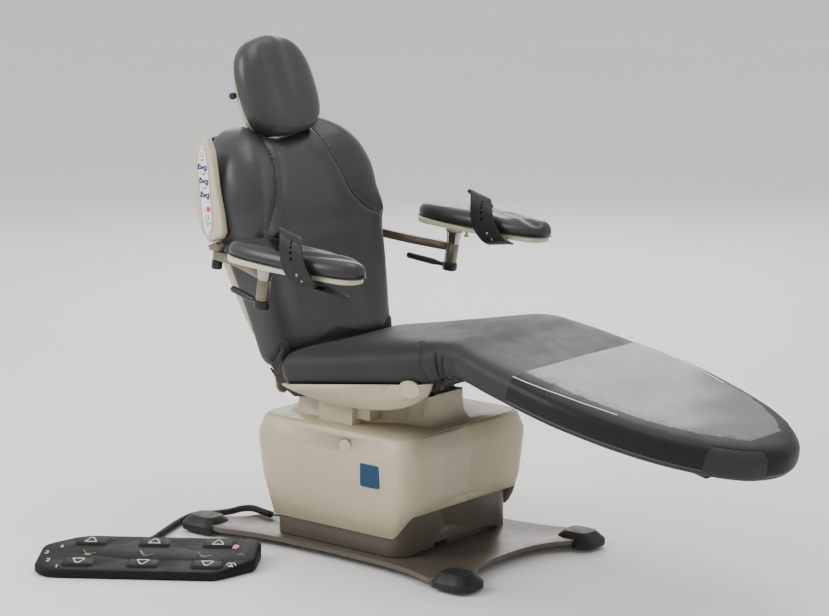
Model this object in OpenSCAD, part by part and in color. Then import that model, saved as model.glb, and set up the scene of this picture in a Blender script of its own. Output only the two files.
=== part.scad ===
// Powered examination chair: telescoping base on a steel plate, tilting seat,
// reclining back with headrest, legrest, two swing-away arm boards and a
// corded foot control. Millimetres, +Z up, +X towards the toes, +Y towards the
// patient's left. The origin is on the floor under the middle of the plate.

/* [Base] */
// Half distance between front and rear anchor holes
foot_x = 425; // [400:5:440]
// Half distance between left and right anchor holes
foot_y = 253.5; // [245:0.5:260]
// Thickness of the steel floor plate
plate_t = 12.7; // [10:0.1:16]
// Radius of the anchor bore through each levelling foot
anchor_r = 5.5; // [4.5:0.1:6.5]
// Height of the top deck above the floor
deck_z = 346; // [342:1:352]
// Shell wall of the plastic covers
wall = 3; // [2.5:0.5:4]

/* [Seat and back] */
// Slope of the seat, front up
seat_slope = 8; // [6:0.5:10]
// Lean of the back from the vertical
back_lean = 20.7; // [18:0.1:22]
// Slope of the legrest, toe down
leg_slope = 12.2; // [8:0.1:14]
// Half width of the seat cushion
seat_hw = 240; // [225:1:245]
// Thickness of the seat cushion
seat_th = 82; // [70:1:86]
// Thickness of the legrest cushion
leg_th = 80; // [60:1:82]

/* [Arms] */
// Forward lean of each arm post
arm_lean = 9; // [6:1:12]
// Radius of the sliding arm post
post_r = 12; // [10:0.5:13]
// Width of the rubber wrist strap
strap_w = 64; // [40:1:70]

/* [Foot control] */
// Turn of the foot control on the floor
fc_turn = 35; // [20:1:50]
// Travel pocket depth of each pad
pad_pocket = 9; // [7:0.5:11]

/* [Hidden] */
$fn = 48;

beige = "#cfc6b2"; taupe = "#5d564e"; bronze = "#7d6a58"; charcoal = "#3f4042"; black = "#1c1c1e"; steel = "#8b8d90"; chrome = "#c8c8ca"; wood = "#d9cfb4";

pz0 = 18; pz1 = pz0 + plate_t;      // plate bottom and top
TP = [270, 484];                     // seat tilt pivot, x and z
BP = [-200, 470];                    // back hinge
LP = [366, 530];                     // legrest hinge
SO = [-162, 437];                    // seat frame of reference
BO = [-175, 520];                    // back frame of reference
AO = [-329, 300, 760];               // arm pivot (mirrored for the right)
lt = 88;                             // legrest top above its hinge

// ---------- helpers ----------
function flat1(l) = [for (a = l) for (b = a) b];
function arc(cx, cy, r, a0, a1, n = 6) = [for (i = [0:n]) let (a = a0 + (a1 - a0)*i/n) [cx + r*cos(a), cy + r*sin(a)]];
function rrp(hx, hy, r, n = 6) = concat(arc(hx-r, hy-r, r, 0, 90, n), arc(-hx+r, hy-r, r, 90, 180, n), arc(-hx+r, -hy+r, r, 180, 270, n), arc(hx-r, -hy+r, r, 270, 360, n));
function at_z(p, z) = [for (q = p) [q[0], q[1], z]];
function revd(p) = [for (i = [len(p)-1:-1:0]) p[i]];
function mir(p) = concat(p, [for (i = [len(p)-1:-1:0]) [p[i][0], -p[i][1]]]);
function shrink(p, d) = [for (q = p) q*(1 - d/max(1, norm(q)))];
function mix(a, b, s) = [for (i = [0:len(a)-1]) a[i]*(1-s) + b[i]*s];
module loft(rings) {
  n = len(rings[0]); m = len(rings);
  polyhedron(points = flat1(rings), convexity = 8, faces = concat(
    [[for (i = [0:n-1]) i]],
    [for (j = [0:m-2]) for (i = [0:n-1]) let (k = (i+1)%n) each [[j*n+i, (j+1)*n+i, (j+1)*n+k], [j*n+i, (j+1)*n+k, j*n+k]]],
    [[for (i = [n-1:-1:0]) (m-1)*n+i]]));
}
// tube of radius r[i] along 3D points p
function tdir(p, i) = let (a = p[max(0, i-1)], b = p[min(len(p)-1, i+1)]) (b-a)/norm(b-a);
function tring(p, r, i, n) = let (d = tdir(p, i), s = cross(d, [0, 0, 1]), u = norm(s) < 0.05 ? [1, 0, 0] : s/norm(s), v = cross(u, d))
  [for (k = [0:n-1]) p[i] + r*(u*cos(360*k/n) + v*sin(360*k/n))];
module tube(p, r, n = 8) { m = len(p);
  polyhedron(points = flat1([for (i = [0:m-1]) tring(p, r, i, n)]), convexity = 6, faces = concat(
    [[for (k = [n-1:-1:0]) k]],
    [for (j = [0:m-2]) for (i = [0:n-1]) let (k = (i+1)%n) each [[j*n+k, (j+1)*n+k, (j+1)*n+i], [j*n+i, j*n+k, (j+1)*n+i]]],
    [[for (k = [0:n-1]) (m-1)*n+k]]));
}
// smooth route through hand-chosen points (Catmull-Rom), s steps per span
function cr(a, b, c, d, t) = 0.5*((2*b) + (c-a)*t + (2*a-5*b+4*c-d)*t*t + (3*b-a-3*c+d)*t*t*t);
function route(p, s) = concat([for (i = [0:len(p)-2]) for (k = [0:s-1]) cr(p[max(0, i-1)], p[i], p[i+1], p[min(len(p)-1, i+2)], k/s)], [p[len(p)-1]]);
module ycyl(x, z, r, y0, y1) translate([x, y0, z]) rotate([-90, 0, 0]) cylinder(r = r, h = y1-y0);
module seatf() translate([SO[0], 0, SO[1]]) rotate([0, -seat_slope, 0]) children();
module backf() translate([BO[0], 0, BO[1]]) rotate([0, -back_lean, 0]) children();
module legf() translate([LP[0], 0, LP[1]]) rotate([0, leg_slope, 0]) children();
module headf() backf() translate([20, 0, 680]) children();
module side(s) { if (s > 0) children(); else mirror([0, 1, 0]) children(); }
module armf() translate(AO) rotate([0, arm_lean, 0]) children();
module postf() armf() translate([230, 75, 0]) children();
module boardf() translate([-94, 375, 778]) rotate([0, 3, 0]) children();
module both() { children(); mirror([0, 1, 0]) children(); }
module plateY(pts, y0, y1) translate([0, y1, 0]) rotate([90, 0, 0]) linear_extrude(y1-y0) polygon(pts);

// ---------- base ----------
plate_half = concat([[384, 0], [385, 60], [392, 105], [402, 140], [416, 165], [434, 190]], arc(foot_x+5, foot_y, 42, 45, -0.01+135, 6),
  [[372, 299], [330, 286], [280, 272], [226, 263], [150, 257], [0, 253], [-168, 257], [-240, 266], [-300, 280], [-345, 293]],
  arc(-foot_x-2, foot_y, 42, 45.01, 135, 6), arc(-foot_x-2, foot_y, 42, 150, 225, 4), [[-412, 196], [-388, 180], [-366, 150], [-352, 115], [-346, 70], [-345, 0]]);
module foot_at() for (sx = [-1, 1]) for (sy = [-1, 1]) translate([sx*foot_x, sy*foot_y, 0]) children();
module base_plate() color(taupe) difference() {
  union() {
    translate([0, 0, pz0]) linear_extrude(plate_t) polygon(concat(plate_half, [for (i = [len(plate_half)-2:-1:1]) [plate_half[i][0], -plate_half[i][1]]]));
    foot_at() translate([0, 0, pz0]) cylinder(r = 42, h = plate_t);
  }
  foot_at() translate([0, 0, pz0-1]) cylinder(r = 9, h = plate_t+2);
}
module foot_caps() color(black) difference() {
  foot_at() hull() { translate([0, 0, 9]) linear_extrude(16) polygon(rrp(60, 50, 32, 4)); translate([0, 0, 40]) linear_extrude(6) polygon(rrp(38, 30, 20, 4)); }
  foot_at() { translate([0, 0, -1]) cylinder(r = 42, h = pz1+1); translate([0, 0, pz1-1]) cylinder(r = 15, h = 9.5); }
  translate([0, 0, -1]) linear_extrude(pz1+1) polygon(concat(plate_half, [for (i = [len(plate_half)-2:-1:1]) [plate_half[i][0], -plate_half[i][1]]]));
}
module levelling_feet() color(steel) foot_at() difference() {
  union() { cylinder(r = 24, h = 7); cylinder(r = 13, h = pz0); cylinder(r = 9, h = 38); translate([0, 0, pz1]) cylinder(r = 14, h = 7, $fn = 6); }
  translate([0, 0, -1]) cylinder(r = anchor_r, h = 50);
}
module rtube(hx, hy, r, t, z0, z1) difference() {
  translate([0, 0, z0]) linear_extrude(z1-z0) polygon(rrp(hx, hy, r));
  translate([0, 0, z0-1]) linear_extrude(z1-z0+2) polygon(rrp(hx-t, hy-t, r-t));
}
module outer_column() color(steel) difference() {
  union() { rtube(95, 95, 14, 6, pz1, 275); difference() { translate([0, 0, pz1]) linear_extrude(8) polygon(rrp(120, 120, 14)); translate([0, 0, pz1-1]) linear_extrude(10) polygon(rrp(89.5, 89.5, 8.5)); }
    for (sx = [-1, 1]) for (sy = [-1, 1]) translate([sx*106, sy*106, pz1+8]) cylinder(r = 9, h = 7, $fn = 6); }
  translate([-22, 60, pz1-1]) cube([44, 80, 14]);
}
module base_cover() color(taupe) difference() {
  union() { difference() { translate([0, 0, pz1]) linear_extrude(268-pz1) polygon(rrp(205, 208, 36)); translate([0, 0, pz1-1]) linear_extrude(265-pz1+1) polygon(rrp(202, 205, 33)); } }
  translate([0, 0, 250]) linear_extrude(30) polygon(rrp(95.5, 95.5, 14.5));
  translate([195, -70, 33]) cube([20, 40, 37]);           // switch cut-out
  translate([-215, 82, 50]) cube([20, 36, 30]);           // mains inlet cut-out
  translate([-220, -137, 46]) rotate([0, 90, 0]) cylinder(r = 6, h = 30);
  translate([203.2, 1, pz1-1]) cube([3, 1.2, 60]);        // access door joint
  translate([203.2, 1, 88]) cube([3, 206, 1.2]);
}
module power_inlet() color(black) {
  difference() { union() { translate([196, -69.8, 33.2]) cube([10, 39.6, 36.6]); translate([205, -73, 31.5]) cube([3, 46, 41]); }
    translate([199, -66, 37]) cube([20, 32, 29]); }
  difference() { union() { translate([-206, 82.2, 50.2]) cube([28, 35.6, 29.6]); translate([-208, 78, 47]) cube([3, 44, 36]); }
    translate([-215, 88, 55]) cube([26, 24, 20]); }
  for (y = [95, 105]) translate([-200, y-1, 64]) cube([14, 2, 5]);
  translate([-200, 99, 58]) cube([14, 2, 5]);
}
module power_rocker() color(black) { ycyl(203, 51.5, 2, -65.8, -34.2); plateY([[201, 40], [208, 38.5], [209.5, 45], [208.5, 51.5], [211, 58], [210, 64.5], [201, 63]], -65.2, -34.8); }
module lift_drive() color(steel) {
  difference() { union() { translate([0, 0, pz1]) cylinder(r = 30, h = 9); translate([-20, 0, pz1]) cube([40, 150, 9]); translate([0, 0, pz1]) cylinder(r = 20, h = 285-pz1); } }
  translate([0, 150, pz1]) cylinder(r = 36, h = 150); translate([0, 150, 150]) cylinder(r = 30, h = 60);
  translate([-190, -60, pz1+4]) cube([70, 120, 170]);
}
module cord_glands() color(black) {
  difference() { union() { translate([-232, -137, 46]) rotate([0, 90, 0]) cylinder(r1 = 4.5, r2 = 7.5, h = 27); translate([-205.5, -137, 46]) rotate([0, 90, 0]) cylinder(r = 6, h = 9); translate([-208, -137, 46]) rotate([0, 90, 0]) cylinder(r = 9, h = 3, $fn = 6); }
    translate([-240, -137, 46]) rotate([0, 90, 0]) cylinder(r = 2.6, h = 50); }
  fcf() translate([-52, 124, 22]) rotate([-90, 0, 0]) difference() { union() { cylinder(r = 6, h = 3); cylinder(r1 = 5.5, r2 = 4, h = 16); } translate([0, 0, -1]) cylinder(r = 2.6, h = 30); }
}
// ---------- foot control and its cord ----------
FC = [-303, -596];
module fcf() translate([FC[0], FC[1], 0]) rotate([0, 0, fc_turn]) children();
fc_pitch = 5.5;
function fcz(y) = 34 + y*tan(fc_pitch);
fc_out = concat(arc(248, 97, 26, 0, 90, 4), arc(-150, 10, 116, 100, 125, 3), arc(-232, 30, 50, 130, 185, 5), arc(-222, -58, 60, 190, 270, 6), arc(170, -78, 40, 270, 318, 4), arc(244, -12, 30, 325, 360, 3));
function fc_ring(d, f) = [for (q = shrink(fc_out, d)) [q[0], q[1], f < 0 ? -f : fcz(q[1]) - f + 0.0001]];
pads = [for (i = [-1, 0, 1]) for (j = [1, -1]) [i*164 + (j > 0 ? 3 : -6), j > 0 ? 78 : -66]];
module foot_control() color(black) difference() {
  loft([at_z(shrink(fc_out, 8), 0), at_z(fc_out, 6), fc_ring(0, 7), fc_ring(3, 2), fc_ring(8, 0)]);
  for (p = pads) translate([p[0], p[1], 0]) translate([0, 0, 34 + p[1]*tan(fc_pitch)]) rotate([fc_pitch, 0, 0]) translate([-41, -24, -pad_pocket]) cube([82, 48, 40]);
}
module foot_control_body() { fcf() foot_control(); }
module pad(i) color(black) fcf() translate([pads[i][0], pads[i][1], 34 + pads[i][1]*tan(fc_pitch)]) rotate([fc_pitch, 0, 0])
  difference() {
    union() { translate([-40.4, -23.4, -6]) cube([80.8, 46.8, 6.5]); loft([at_z(rrp(40, 23, 5, 2), 0.4), at_z(rrp(36, 19, 5, 2), 5)]); }
    translate([0, 0, -7]) linear_extrude(4) polygon(rrp(36, 19, 4, 2));
  }
// hand-chosen route points of the curly cord's centre line
coil_line = [[-452, -470, 16], [-452, -436, 10], [-470, -385, 10], [-510, -285, 10], [-533, -210, 10], [-528, -165, 10], [-500, -143, 12], [-462, -128, 20], [-424, -120, 33], [-384, -120, 41], [-340, -128, 41], [-300, -135, 41]];
lead_a = [[-417.9, -522.6, 22], [-426, -511, 22], [-436, -497, 21], [-445, -484, 19], [-451.6, -471.4, 16.4]];
lead_b = [[-298.8, -135.2, 41.2], [-280, -137, 44], [-260, -137, 46], [-236, -137, 46], [-215, -137, 46]];
module foot_cord_leads() color(black) { tube(route(lead_a, 2), 2.5, 8); tube(route(lead_b, 2), 2.5, 8); }
module foot_cord_coil() color(black) tube(route(coil_line, 2), 9.2, 10);

// ---------- middle stage ----------
function scurve(t) = t <= 0 ? 0 : t >= 1 ? 1 : t*t*(3-2*t);
module arch_cut(x0, x1, ya, yb, za, zb, zlow) translate([x0, 0, 0]) rotate([90, 0, 90]) linear_extrude(x1-x0)
  polygon(concat([for (i = [0:10]) let (s = i/10) [-(ya + (yb-ya)*s), za + (zb-za)*scurve(s)]], [for (i = [10:-1:0]) let (s = i/10) [ya + (yb-ya)*s, za + (zb-za)*scurve(s)]], [[ya, zlow], [-ya, zlow]]));
module mid_shroud() color(taupe) difference() {
  union() { rtube(222, 224, 52, wall, 33, 302);
    difference() { translate([0, 0, 290]) linear_extrude(3) polygon(rrp(221, 223, 51)); translate([0, 0, 280]) linear_extrude(20) polygon(rrp(86.2, 86.2, 11)); } }
  arch_cut(150, 240, 196, 110, 32.99, 50, 20);
  translate([-240, -162, 20]) linear_extrude(44) polygon([[0, 0], [40, 0], [40, 50], [0, 50]]);
  translate([216, -52, 88]) rotate([0, 90, 0]) cylinder(r = 2.6, h = 10);
}
module mid_column() color(steel) {
  difference() {
    union() {
      rtube(86, 86, 11, 6, 42, 290);
      translate([-82, -12, 42]) cube([164, 24, 6]); translate([-12, -82, 42]) cube([24, 164, 6]);
      translate([0, 0, 42]) cylinder(r = 26, h = 258);
    }
    translate([0, 0, 30]) cylinder(r = 20.05, h = 300);
  }
  for (a = [0:90:270]) rotate([0, 0, a]) { translate([86, -30, 44]) cube([2.8, 60, 40]); translate([77.2, -30, 240]) cube([2.8, 60, 40]); }
}
// ---------- lifting stage ----------
module inner_column() color(steel) {
  rtube(77, 77, 9, 6, 54, 330);
  difference() { translate([0, 0, 52]) cylinder(r = 32, h = 280); translate([0, 0, 40]) cylinder(r = 26.05, h = 280); }
  difference() { translate([0, 0, 330]) linear_extrude(10) polygon(rrp(200, 175, 20)); translate([0, 0, 325]) linear_extrude(20) polygon(rrp(20, 20, 5)); translate([-52, 0, 325]) cylinder(r = 18, h = 20); }
}
cov = [[76, 238, 232, 62], [83, 239, 233, 62], [180, 257, 246, 54], [285, 266, 251, 50], [300, 266, 251, 50], [338, 254, 238, 46], [deck_z-1.5, 247, 231, 42]];
function cov_ring(i, d) = at_z(rrp(cov[i][1]-d, cov[i][2]-d, cov[i][3]-d), cov[i][0]);
module cover_body() difference() {
  loft([for (i = [1:6]) cov_ring(i, 0)]);
  loft([at_z(rrp(cov[0][1]-wall, cov[0][2]-wall, cov[0][3]-wall), 70), for (i = [1:5]) cov_ring(i, wall), at_z(rrp(228, 212, 36), 360)]);
  both() intersection() { translate([0, 0.001, 0]) cube([400, 400, 200]); rotate([0, 0, -45]) translate([0, 400, 0]) rotate([90, 0, 0]) linear_extrude(800)
    polygon(concat([for (i = [0:10]) [-34 + 68*i/10, 79 + 66*scurve(i/10)]], [[400, 146], [400, 20], [-34, 20]])); }
  translate([0, 0, -0.4]) translate([-400, -0.4, 0]) cube([800, 0.8, 500]);
}
module side_covers() color(beige) difference() {
  cover_body();
  both() translate([56, 262, 305]) rotate([90, 0, 0]) cylinder(r = 19, h = 20);
  for (y = [-8, 8]) translate([240, y, 165]) rotate([0, 90, 0]) cylinder(r = 2.2, h = 40);
}
twr_top = [[180, 0], [182, 40], [186, 56], [184, 66], [172, 74], [150, 78], [128, 84], [100, 94], [74, 112], [46, 136], [20, 148], [0, 154], [-20, 156], [-24, 164], [-50, 166], [-80, 166], [-86, 158], [-130, 158], [-176, 156], [-190, 144], [-190, 0]];
twr_bot = [[204, 0], [206, 50], [208, 68], [204, 80], [186, 88], [158, 90], [132, 91], [104, 97], [77, 114], [48, 138], [22, 149], [0, 155], [-20, 157], [-24, 165], [-50, 167], [-80, 167], [-88, 166], [-136, 176], [-196, 180], [-214, 164], [-216, 0]];
function twr(s, d) = shrink(mir([for (i = [0:20]) twr_top[i]*(1-s) + twr_bot[i]*s]), d);
function twr2(s, d) = let (p = twr(s, d)) [for (i = [1:40]) p[i]];
module deck_cover() color(beige) difference() {
  union() {
    translate([0, 0, deck_z-4]) linear_extrude(4) polygon(rrp(244, 228, 40));
    loft([for (k = [0:6]) let (z = [0, 2, 6, 14, 26, 42, 60][k], s = [1, 0.82, 0.58, 0.32, 0.12, 0.03, 0][k]) at_z(twr2(s, 0), deck_z - 2 + z), at_z(twr2(0, 0), 424)]);
    both() { translate([-84, 140, deck_z-2]) cube([112, 50, 100]); translate([20, 130, deck_z+14]) cube([52, 42, 86]); for (q = [[172, 73], [128, 83]]) translate([q[0], q[1], deck_z-2]) cylinder(r = 5, h = 100); }
  }
  both() translate([-81, 130, deck_z-10]) cube([106, 57, 120]);
  loft([at_z(twr2(0.9, 9), deck_z-10), at_z(twr2(0.5, 6), deck_z+4), at_z(twr2(0.2, 4.5), deck_z+16), at_z(twr2(0, 4.5), deck_z+44), at_z(twr2(0, 4.5), 430)]);
  translate([-300, -200, 390]) rotate([0, -3.6, 0]) cube([620, 400, 60]);   // sloping rim
}
module tilt_bracket() color(steel) {
  difference() {
    both() plateY([[-120, 340], [-14, 340], [-10, 411], [60, 416], [150, 424], [284, 466], [288, 484], [283, 496.8], [270, 502], [257, 496.8], [250, 487], [150, 452], [60, 436], [-60, 414], [-120, 400]], 137, 149);
    ycyl(TP[0], TP[1], 12.5, 120, 170); ycyl(TP[0], TP[1], 12.5, -170, -120);
  }
  ycyl(TP[0], TP[1], 12.5, -216, 216);
}
module cover_caps() color(beige) {
  both() translate([56, 0, 305]) rotate([-90, 0, 0]) { translate([0, 0, 246]) cylinder(r = 18.9, h = 4.5); translate([0, 0, 238]) cylinder(r = 6, h = 10); }
  for (y = [-8, 8]) translate([236, y, 165]) rotate([0, 90, 0]) cylinder(r = 2.1, h = 21);
}
module tilt_actuator() color(steel) difference() {
  union() { translate([-52, 0, 120]) cylinder(r = 17.9, h = 236); translate([-146, -28, 340.05]) cube([122, 56, 14]); translate([-116, 0, 340.05]) cylinder(r = 26, h = 52); }
  translate([-52, 0, 190]) cylinder(r = 9.05, h = 200);
}
module tilt_rod() color(chrome) {
  translate([-52, 0, 210]) cylinder(r = 9, h = 192);
  difference() { translate([-64, -22, 400]) cube([24, 44, 34]); translate([-70, -11, 408.5]) cube([36, 22, 40]); }
  ycyl(-52, 425, 5, -21, 21);
}
// ---------- seat ----------
module seat_frame() color(steel) {
  difference() {
    union() {
      both() plateY([[-222, 452], [-218, 488], [-200, 494], [-182, 488], [-166, 436.5], [333, 506], [344, 540], [356, 556], [378, 554], [388, 538], [386, 520], [352, 506], [300, 478], [250, 452], [-150, 398], [-205, 424]], 192, 210);
      seatf() for (x = [46, 84, 330]) translate([x, -200, -3.5]) cube([56, 400, 3]);
      plateY([[-74, 449], [-30, 455], [-32, 413], [-72, 413]], -10, 10);
      ycyl(TP[0], TP[1], 16, -200, 200);
    }
    both() ycyl(TP[0], TP[1], 19, 136, 152);
    ycyl(TP[0], TP[1], 12.55, -300, 300);
    for (s = [-1, 1]) { ycyl(BP[0], BP[1], 10, s*201-15, s*201+15); ycyl(LP[0], LP[1], 8, s*201-15, s*201+15); }
    plateY([[-60, 418.8], [-44, 418.8], [-44, 431.2], [-60, 431.2]], -20, 20);
    ycyl(-60, 425, 6.2, -20, 20); ycyl(-44, 425, 6.2, -20, 20);
  }
}
function bz(x) = SO[1] + (x - SO[0])*tan(seat_slope);
boat_x = [-164, -150, -120, -80, -40, 0, 50, 100, 150, 200, 240, 275, 300, 318];
boat_z = [436, 428, 421, 415, 411, 408.5, 408, 409, 413, 421, 432, 448, 467, 500];
boat_out = concat([for (i = [0:13]) [boat_x[i], min(boat_z[i], bz(boat_x[i]) - 2.5)]], [[318, bz(318) - 1.5], [-164, bz(-164) - 1.5]]);
boat_in = concat([for (i = [1:12]) [boat_x[i] + (i < 6 ? 1.5 : i > 8 ? -1.5 : 0), boat_z[i] + 3.2]], [[298, bz(298) + 3], [-148, bz(-148) + 3]]);
module seat_side_covers() color(beige) both() difference() {
  union() { plateY(boat_out, 214.2, 243); plateY([for (q = boat_out) [75, 440] + [(q[0]-75)*0.985, (q[1]-440)*(q[1] < bz(q[0]) - 3 ? 0.9 : 1)]], 242, 247); ycyl(TP[0], TP[1], 25, 240, 249.5); }
  plateY(boat_in, 214, 243.8);
  ycyl(TP[0], TP[1], 21, 210, 244);
  plateY([[200, bz(200) - 1.5], [340, bz(340) - 1.5], [340, 540], [200, 540]], 230, 260);
}
function sth(x) = seat_th*(1 + 0.34*x/500);
function sring(e, f) = [for (q = rrp(248-e, seat_hw+2-e, 40)) [q[0]+250, q[1], f*sth(q[0]+250)]];
module seat_cushion() color(charcoal) difference() {
  seatf() loft([[for (q = sring(10, 0)) [q[0], q[1], 0.5]], sring(2, 0.14), sring(0, 0.55), sring(5, 0.74), sring(16, 0.89), sring(34, 0.98), sring(60, 1.02)]);
  ycyl(TP[0], TP[1], 19, -205, 205);
  both() translate([-180, 169, 425]) cube([54, 18, 39]);
}
BA = [-219.9, 416.7];  // back rod pin at rest
module back_actuator() color(steel) { translate([BA[0], 0, BA[1]]) rotate([0, -8, 0]) { difference() {
    translate([150, 154, -17]) cube([190, 30, 25]);
    translate([140, 164, 0]) rotate([0, 90, 0]) cylinder(r = 6.05, h = 184); } translate([300, 180, -9]) cube([36, 11.8, 18]); } }
module back_rod() color(chrome) translate([BA[0], 0, BA[1]]) rotate([0, -8, 0]) {
  translate([6, 164, 0]) rotate([0, 90, 0]) cylinder(r = 6, h = 245);
  difference() { ycyl(0, 0, 10, 158, 170); }
  ycyl(0, 0, 5, 158, 188);
}
LA = [LP[0] + 55*sin(7), LP[1] - 55*cos(7)];  // leg rod pin at rest
module leg_actuator() color(steel) translate([LA[0], 0, LA[1]]) rotate([0, -8, 0]) { difference() {
    translate([-250, 172, 0]) rotate([0, 90, 0]) cylinder(r = 15, h = 128);
    translate([-240, 164, 0]) rotate([0, 90, 0]) cylinder(r = 6.05, h = 150); } translate([-246, 183.8, -8]) cube([36, 8, 16]); }
module leg_rod() color(chrome) translate([LA[0], 0, LA[1]]) rotate([0, -8, 0]) {
  translate([-200, 164, 0]) rotate([0, 90, 0]) cylinder(r = 6, h = 194);
  ycyl(0, 0, 9, 158, 170); ycyl(0, 0, 5, 158, 188);
}
module hinge_pins() color(chrome) both() { ycyl(BP[0], BP[1], 10, 168, 214); ycyl(LP[0], LP[1], 8, 168, 214); }
// ---------- back ----------
bw = [[-4, 205, -6, 6], [14, 226, -14, 12], [60, 234, -34, 22], [160, 245, -8, 32], [240, 255, 16, 38], [300, 265, 28, 44], [360, 269, 36, 48], [420, 269, 38, 48], [480, 258, 34, 46], [530, 236, 22, 44], [565, 208, 6, 40], [586, 176, -14, 34], [597, 140, -30, 24]];
function back_ring(i) = let (t = bw[i][0], w = bw[i][1], nf = bw[i][2]+7, nb = -80, r = min(bw[i][3], (nf-nb)/2-1)) at_z([for (q = rrp((nf-nb)/2, w, r, 4)) [q[0] + (nf+nb)/2, q[1]]], t);
module back_cushion() color(charcoal) backf() difference() {
  loft([for (i = [0:12]) back_ring(i)]);
  translate([-48, 0, 680]) rotate([90, 0, 90]) linear_extrude(200) polygon(shrink(hpo, -14));
}
sh = [[30, 190, 25], [45, 206, 26], [70, 218, 28], [110, 226, 32], [180, 232, 38], [228, 236, 41], [262, 240, 43], [300, 246, 44.5], [360, 260, 44.5], [420, 262, 44.5], [480, 256, 44.5], [530, 238, 44.5], [565, 212, 44.5], [588, 176, 44.5]];
function u_ring(w, t, d) = at_z(let (r = min(26, d-5), c = -81.5-d+r) concat([[-81.5, w]], arc(c, w-r, r, 90, 180, 4), arc(c, -w+r, r, 180, 270, 4), [[-81.5, -w], [-81.5, -w+3]], arc(c, -w+r, r-3, 270, 180, 4), arc(c, w-r, r-3, 180, 90, 4), [[-81.5, w-3]]), t);
function lid_ring(w, t, d) = at_z(let (r = min(26, d-5), c = -81.5-d+r) concat([[-83, w-1.5]], arc(c, w-r, r-1.5, 90, 180, 4), arc(c, -w+r, r-1.5, 180, 270, 4), [[-83, -w+1.5]]), t);
module uloft(rings) {
  n = len(rings[0]); m = len(rings); h = n/2;
  polyhedron(points = flat1(rings), convexity = 8, faces = concat(
    [for (i = [0:h-2]) each [[i, i+1, n-2-i], [i, n-2-i, n-1-i]]],
    [for (j = [0:m-2]) for (i = [0:n-1]) let (k = (i+1)%n) each [[j*n+i, (j+1)*n+i, (j+1)*n+k], [j*n+i, (j+1)*n+k, j*n+k]]],
    [for (i = [0:h-2]) each [[(m-1)*n+n-2-i, (m-1)*n+i+1, (m-1)*n+i], [(m-1)*n+n-1-i, (m-1)*n+n-2-i, (m-1)*n+i]]]));
}
module back_shell() color(beige) backf() difference() {
  union() {
    uloft([for (q = sh) u_ring(q[1], q[0], q[2])]);
    loft([lid_ring(183.8, 583, 44.5), lid_ring(177.6, 587, 44.5)]);
    loft([lid_ring(192.1, 32, 25.13), lid_ring(195.3, 35, 25.33)]);
  }
  translate([-112, -34, 560]) cube([60, 68, 60]);
  both() translate([-113, 205, 292]) cube([40, 95, 23]);
  translate([-89.4, -188, 20]) cube([20, 376, 30]);
  both() translate([-103, 170, 20]) cube([24, 16, 20]);
}
module back_frame() color(steel) {
  difference() {
   backf() difference() {
    union() {
      translate([-89, 0, 0]) rotate([90, 0, 90]) linear_extrude(8.5) polygon(mir_y([[186, 24], [186, 54], [153, 58], [159, 110], [164, 180], [167, 228], [173, 242], [215, 264], [237, 300], [251, 360], [253, 420], [247, 480], [229, 530], [203, 562], [180, 574]]));
      translate([-108, -30, 400]) cube([19.2, 60, 150]);
      both() translate([0, 0, 296]) linear_extrude(15) polygon([[-104, 180], [-104, 262], [-74, 310], [-46, 310], [-46, 288], [-66, 288], [-88.8, 254], [-88.8, 180]]);
    }
    translate([-103.1, -22.1, 380]) cube([10.2, 44.2, 200]);
   }
   armside() armf() translate([0, 0, -60]) cylinder(r = 5.05, h = 200);
  }
  difference() {
    armside() armboss();
    armside() armf() translate([0, 0, -60]) cylinder(r = 5.05, h = 200);
  }
  difference() {
    both() plateY([[-259.5, 513], [-283, 575.5], [-300, 569], [-276, 503], [-256, 470], [-243, 440], [-238, 404], [-229, 394], [-214, 393], [-205, 403], [-202, 438], [-192, 450], [-178, 458], [-176, 482], [-186, 493], [-212, 497], [-250, 483]], 173, 183);
    both() ycyl(BP[0], BP[1], 10.05, 150, 220);
    both() translate([BP[0], 0, BP[1]]) rotate([0, 20.5, 0]) { ycyl(0, -52.5, 9, 160, 200); ycyl(0, -63.5, 9, 160, 200); plateY([[-9, -52.5], [-9, -63.5], [9, -63.5], [9, -52.5]], 160, 200); }
  }
}
module armside() { mirror([0, 1, 0]) children(); translate([0, 0, -12]) children(); }
module armboss() armf() translate([0, 0, 13.5]) cylinder(r = 15, h = 16.5);
function mir_y(p) = concat(p, [for (i = [len(p)-1:-1:0]) [-p[i][0], p[i][1]]]);
panel_pts = [[-104, 345], [-105, 375], [-102, 432], [-87, 485], [-65, 535], [-50, 560], [-30, 576], [-6, 583], [4, 572], [7, 540], [0, 500], [-12, 443], [-20, 380], [-30, 330], [-44, 317], [-92, 318]];
module control_panel() color(beige) backf() {
  translate([0, -272, 0]) rotate([90, 0, 0]) loft([at_z(revd(panel_pts), 0), at_z(revd(panel_pts), 11), at_z([for (q = revd(panel_pts)) [-54, 446] + (q - [-54, 446])*0.96], 17)]);
  translate([-99, -276, 350]) cube([13, 13.6, 80]);
}
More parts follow.
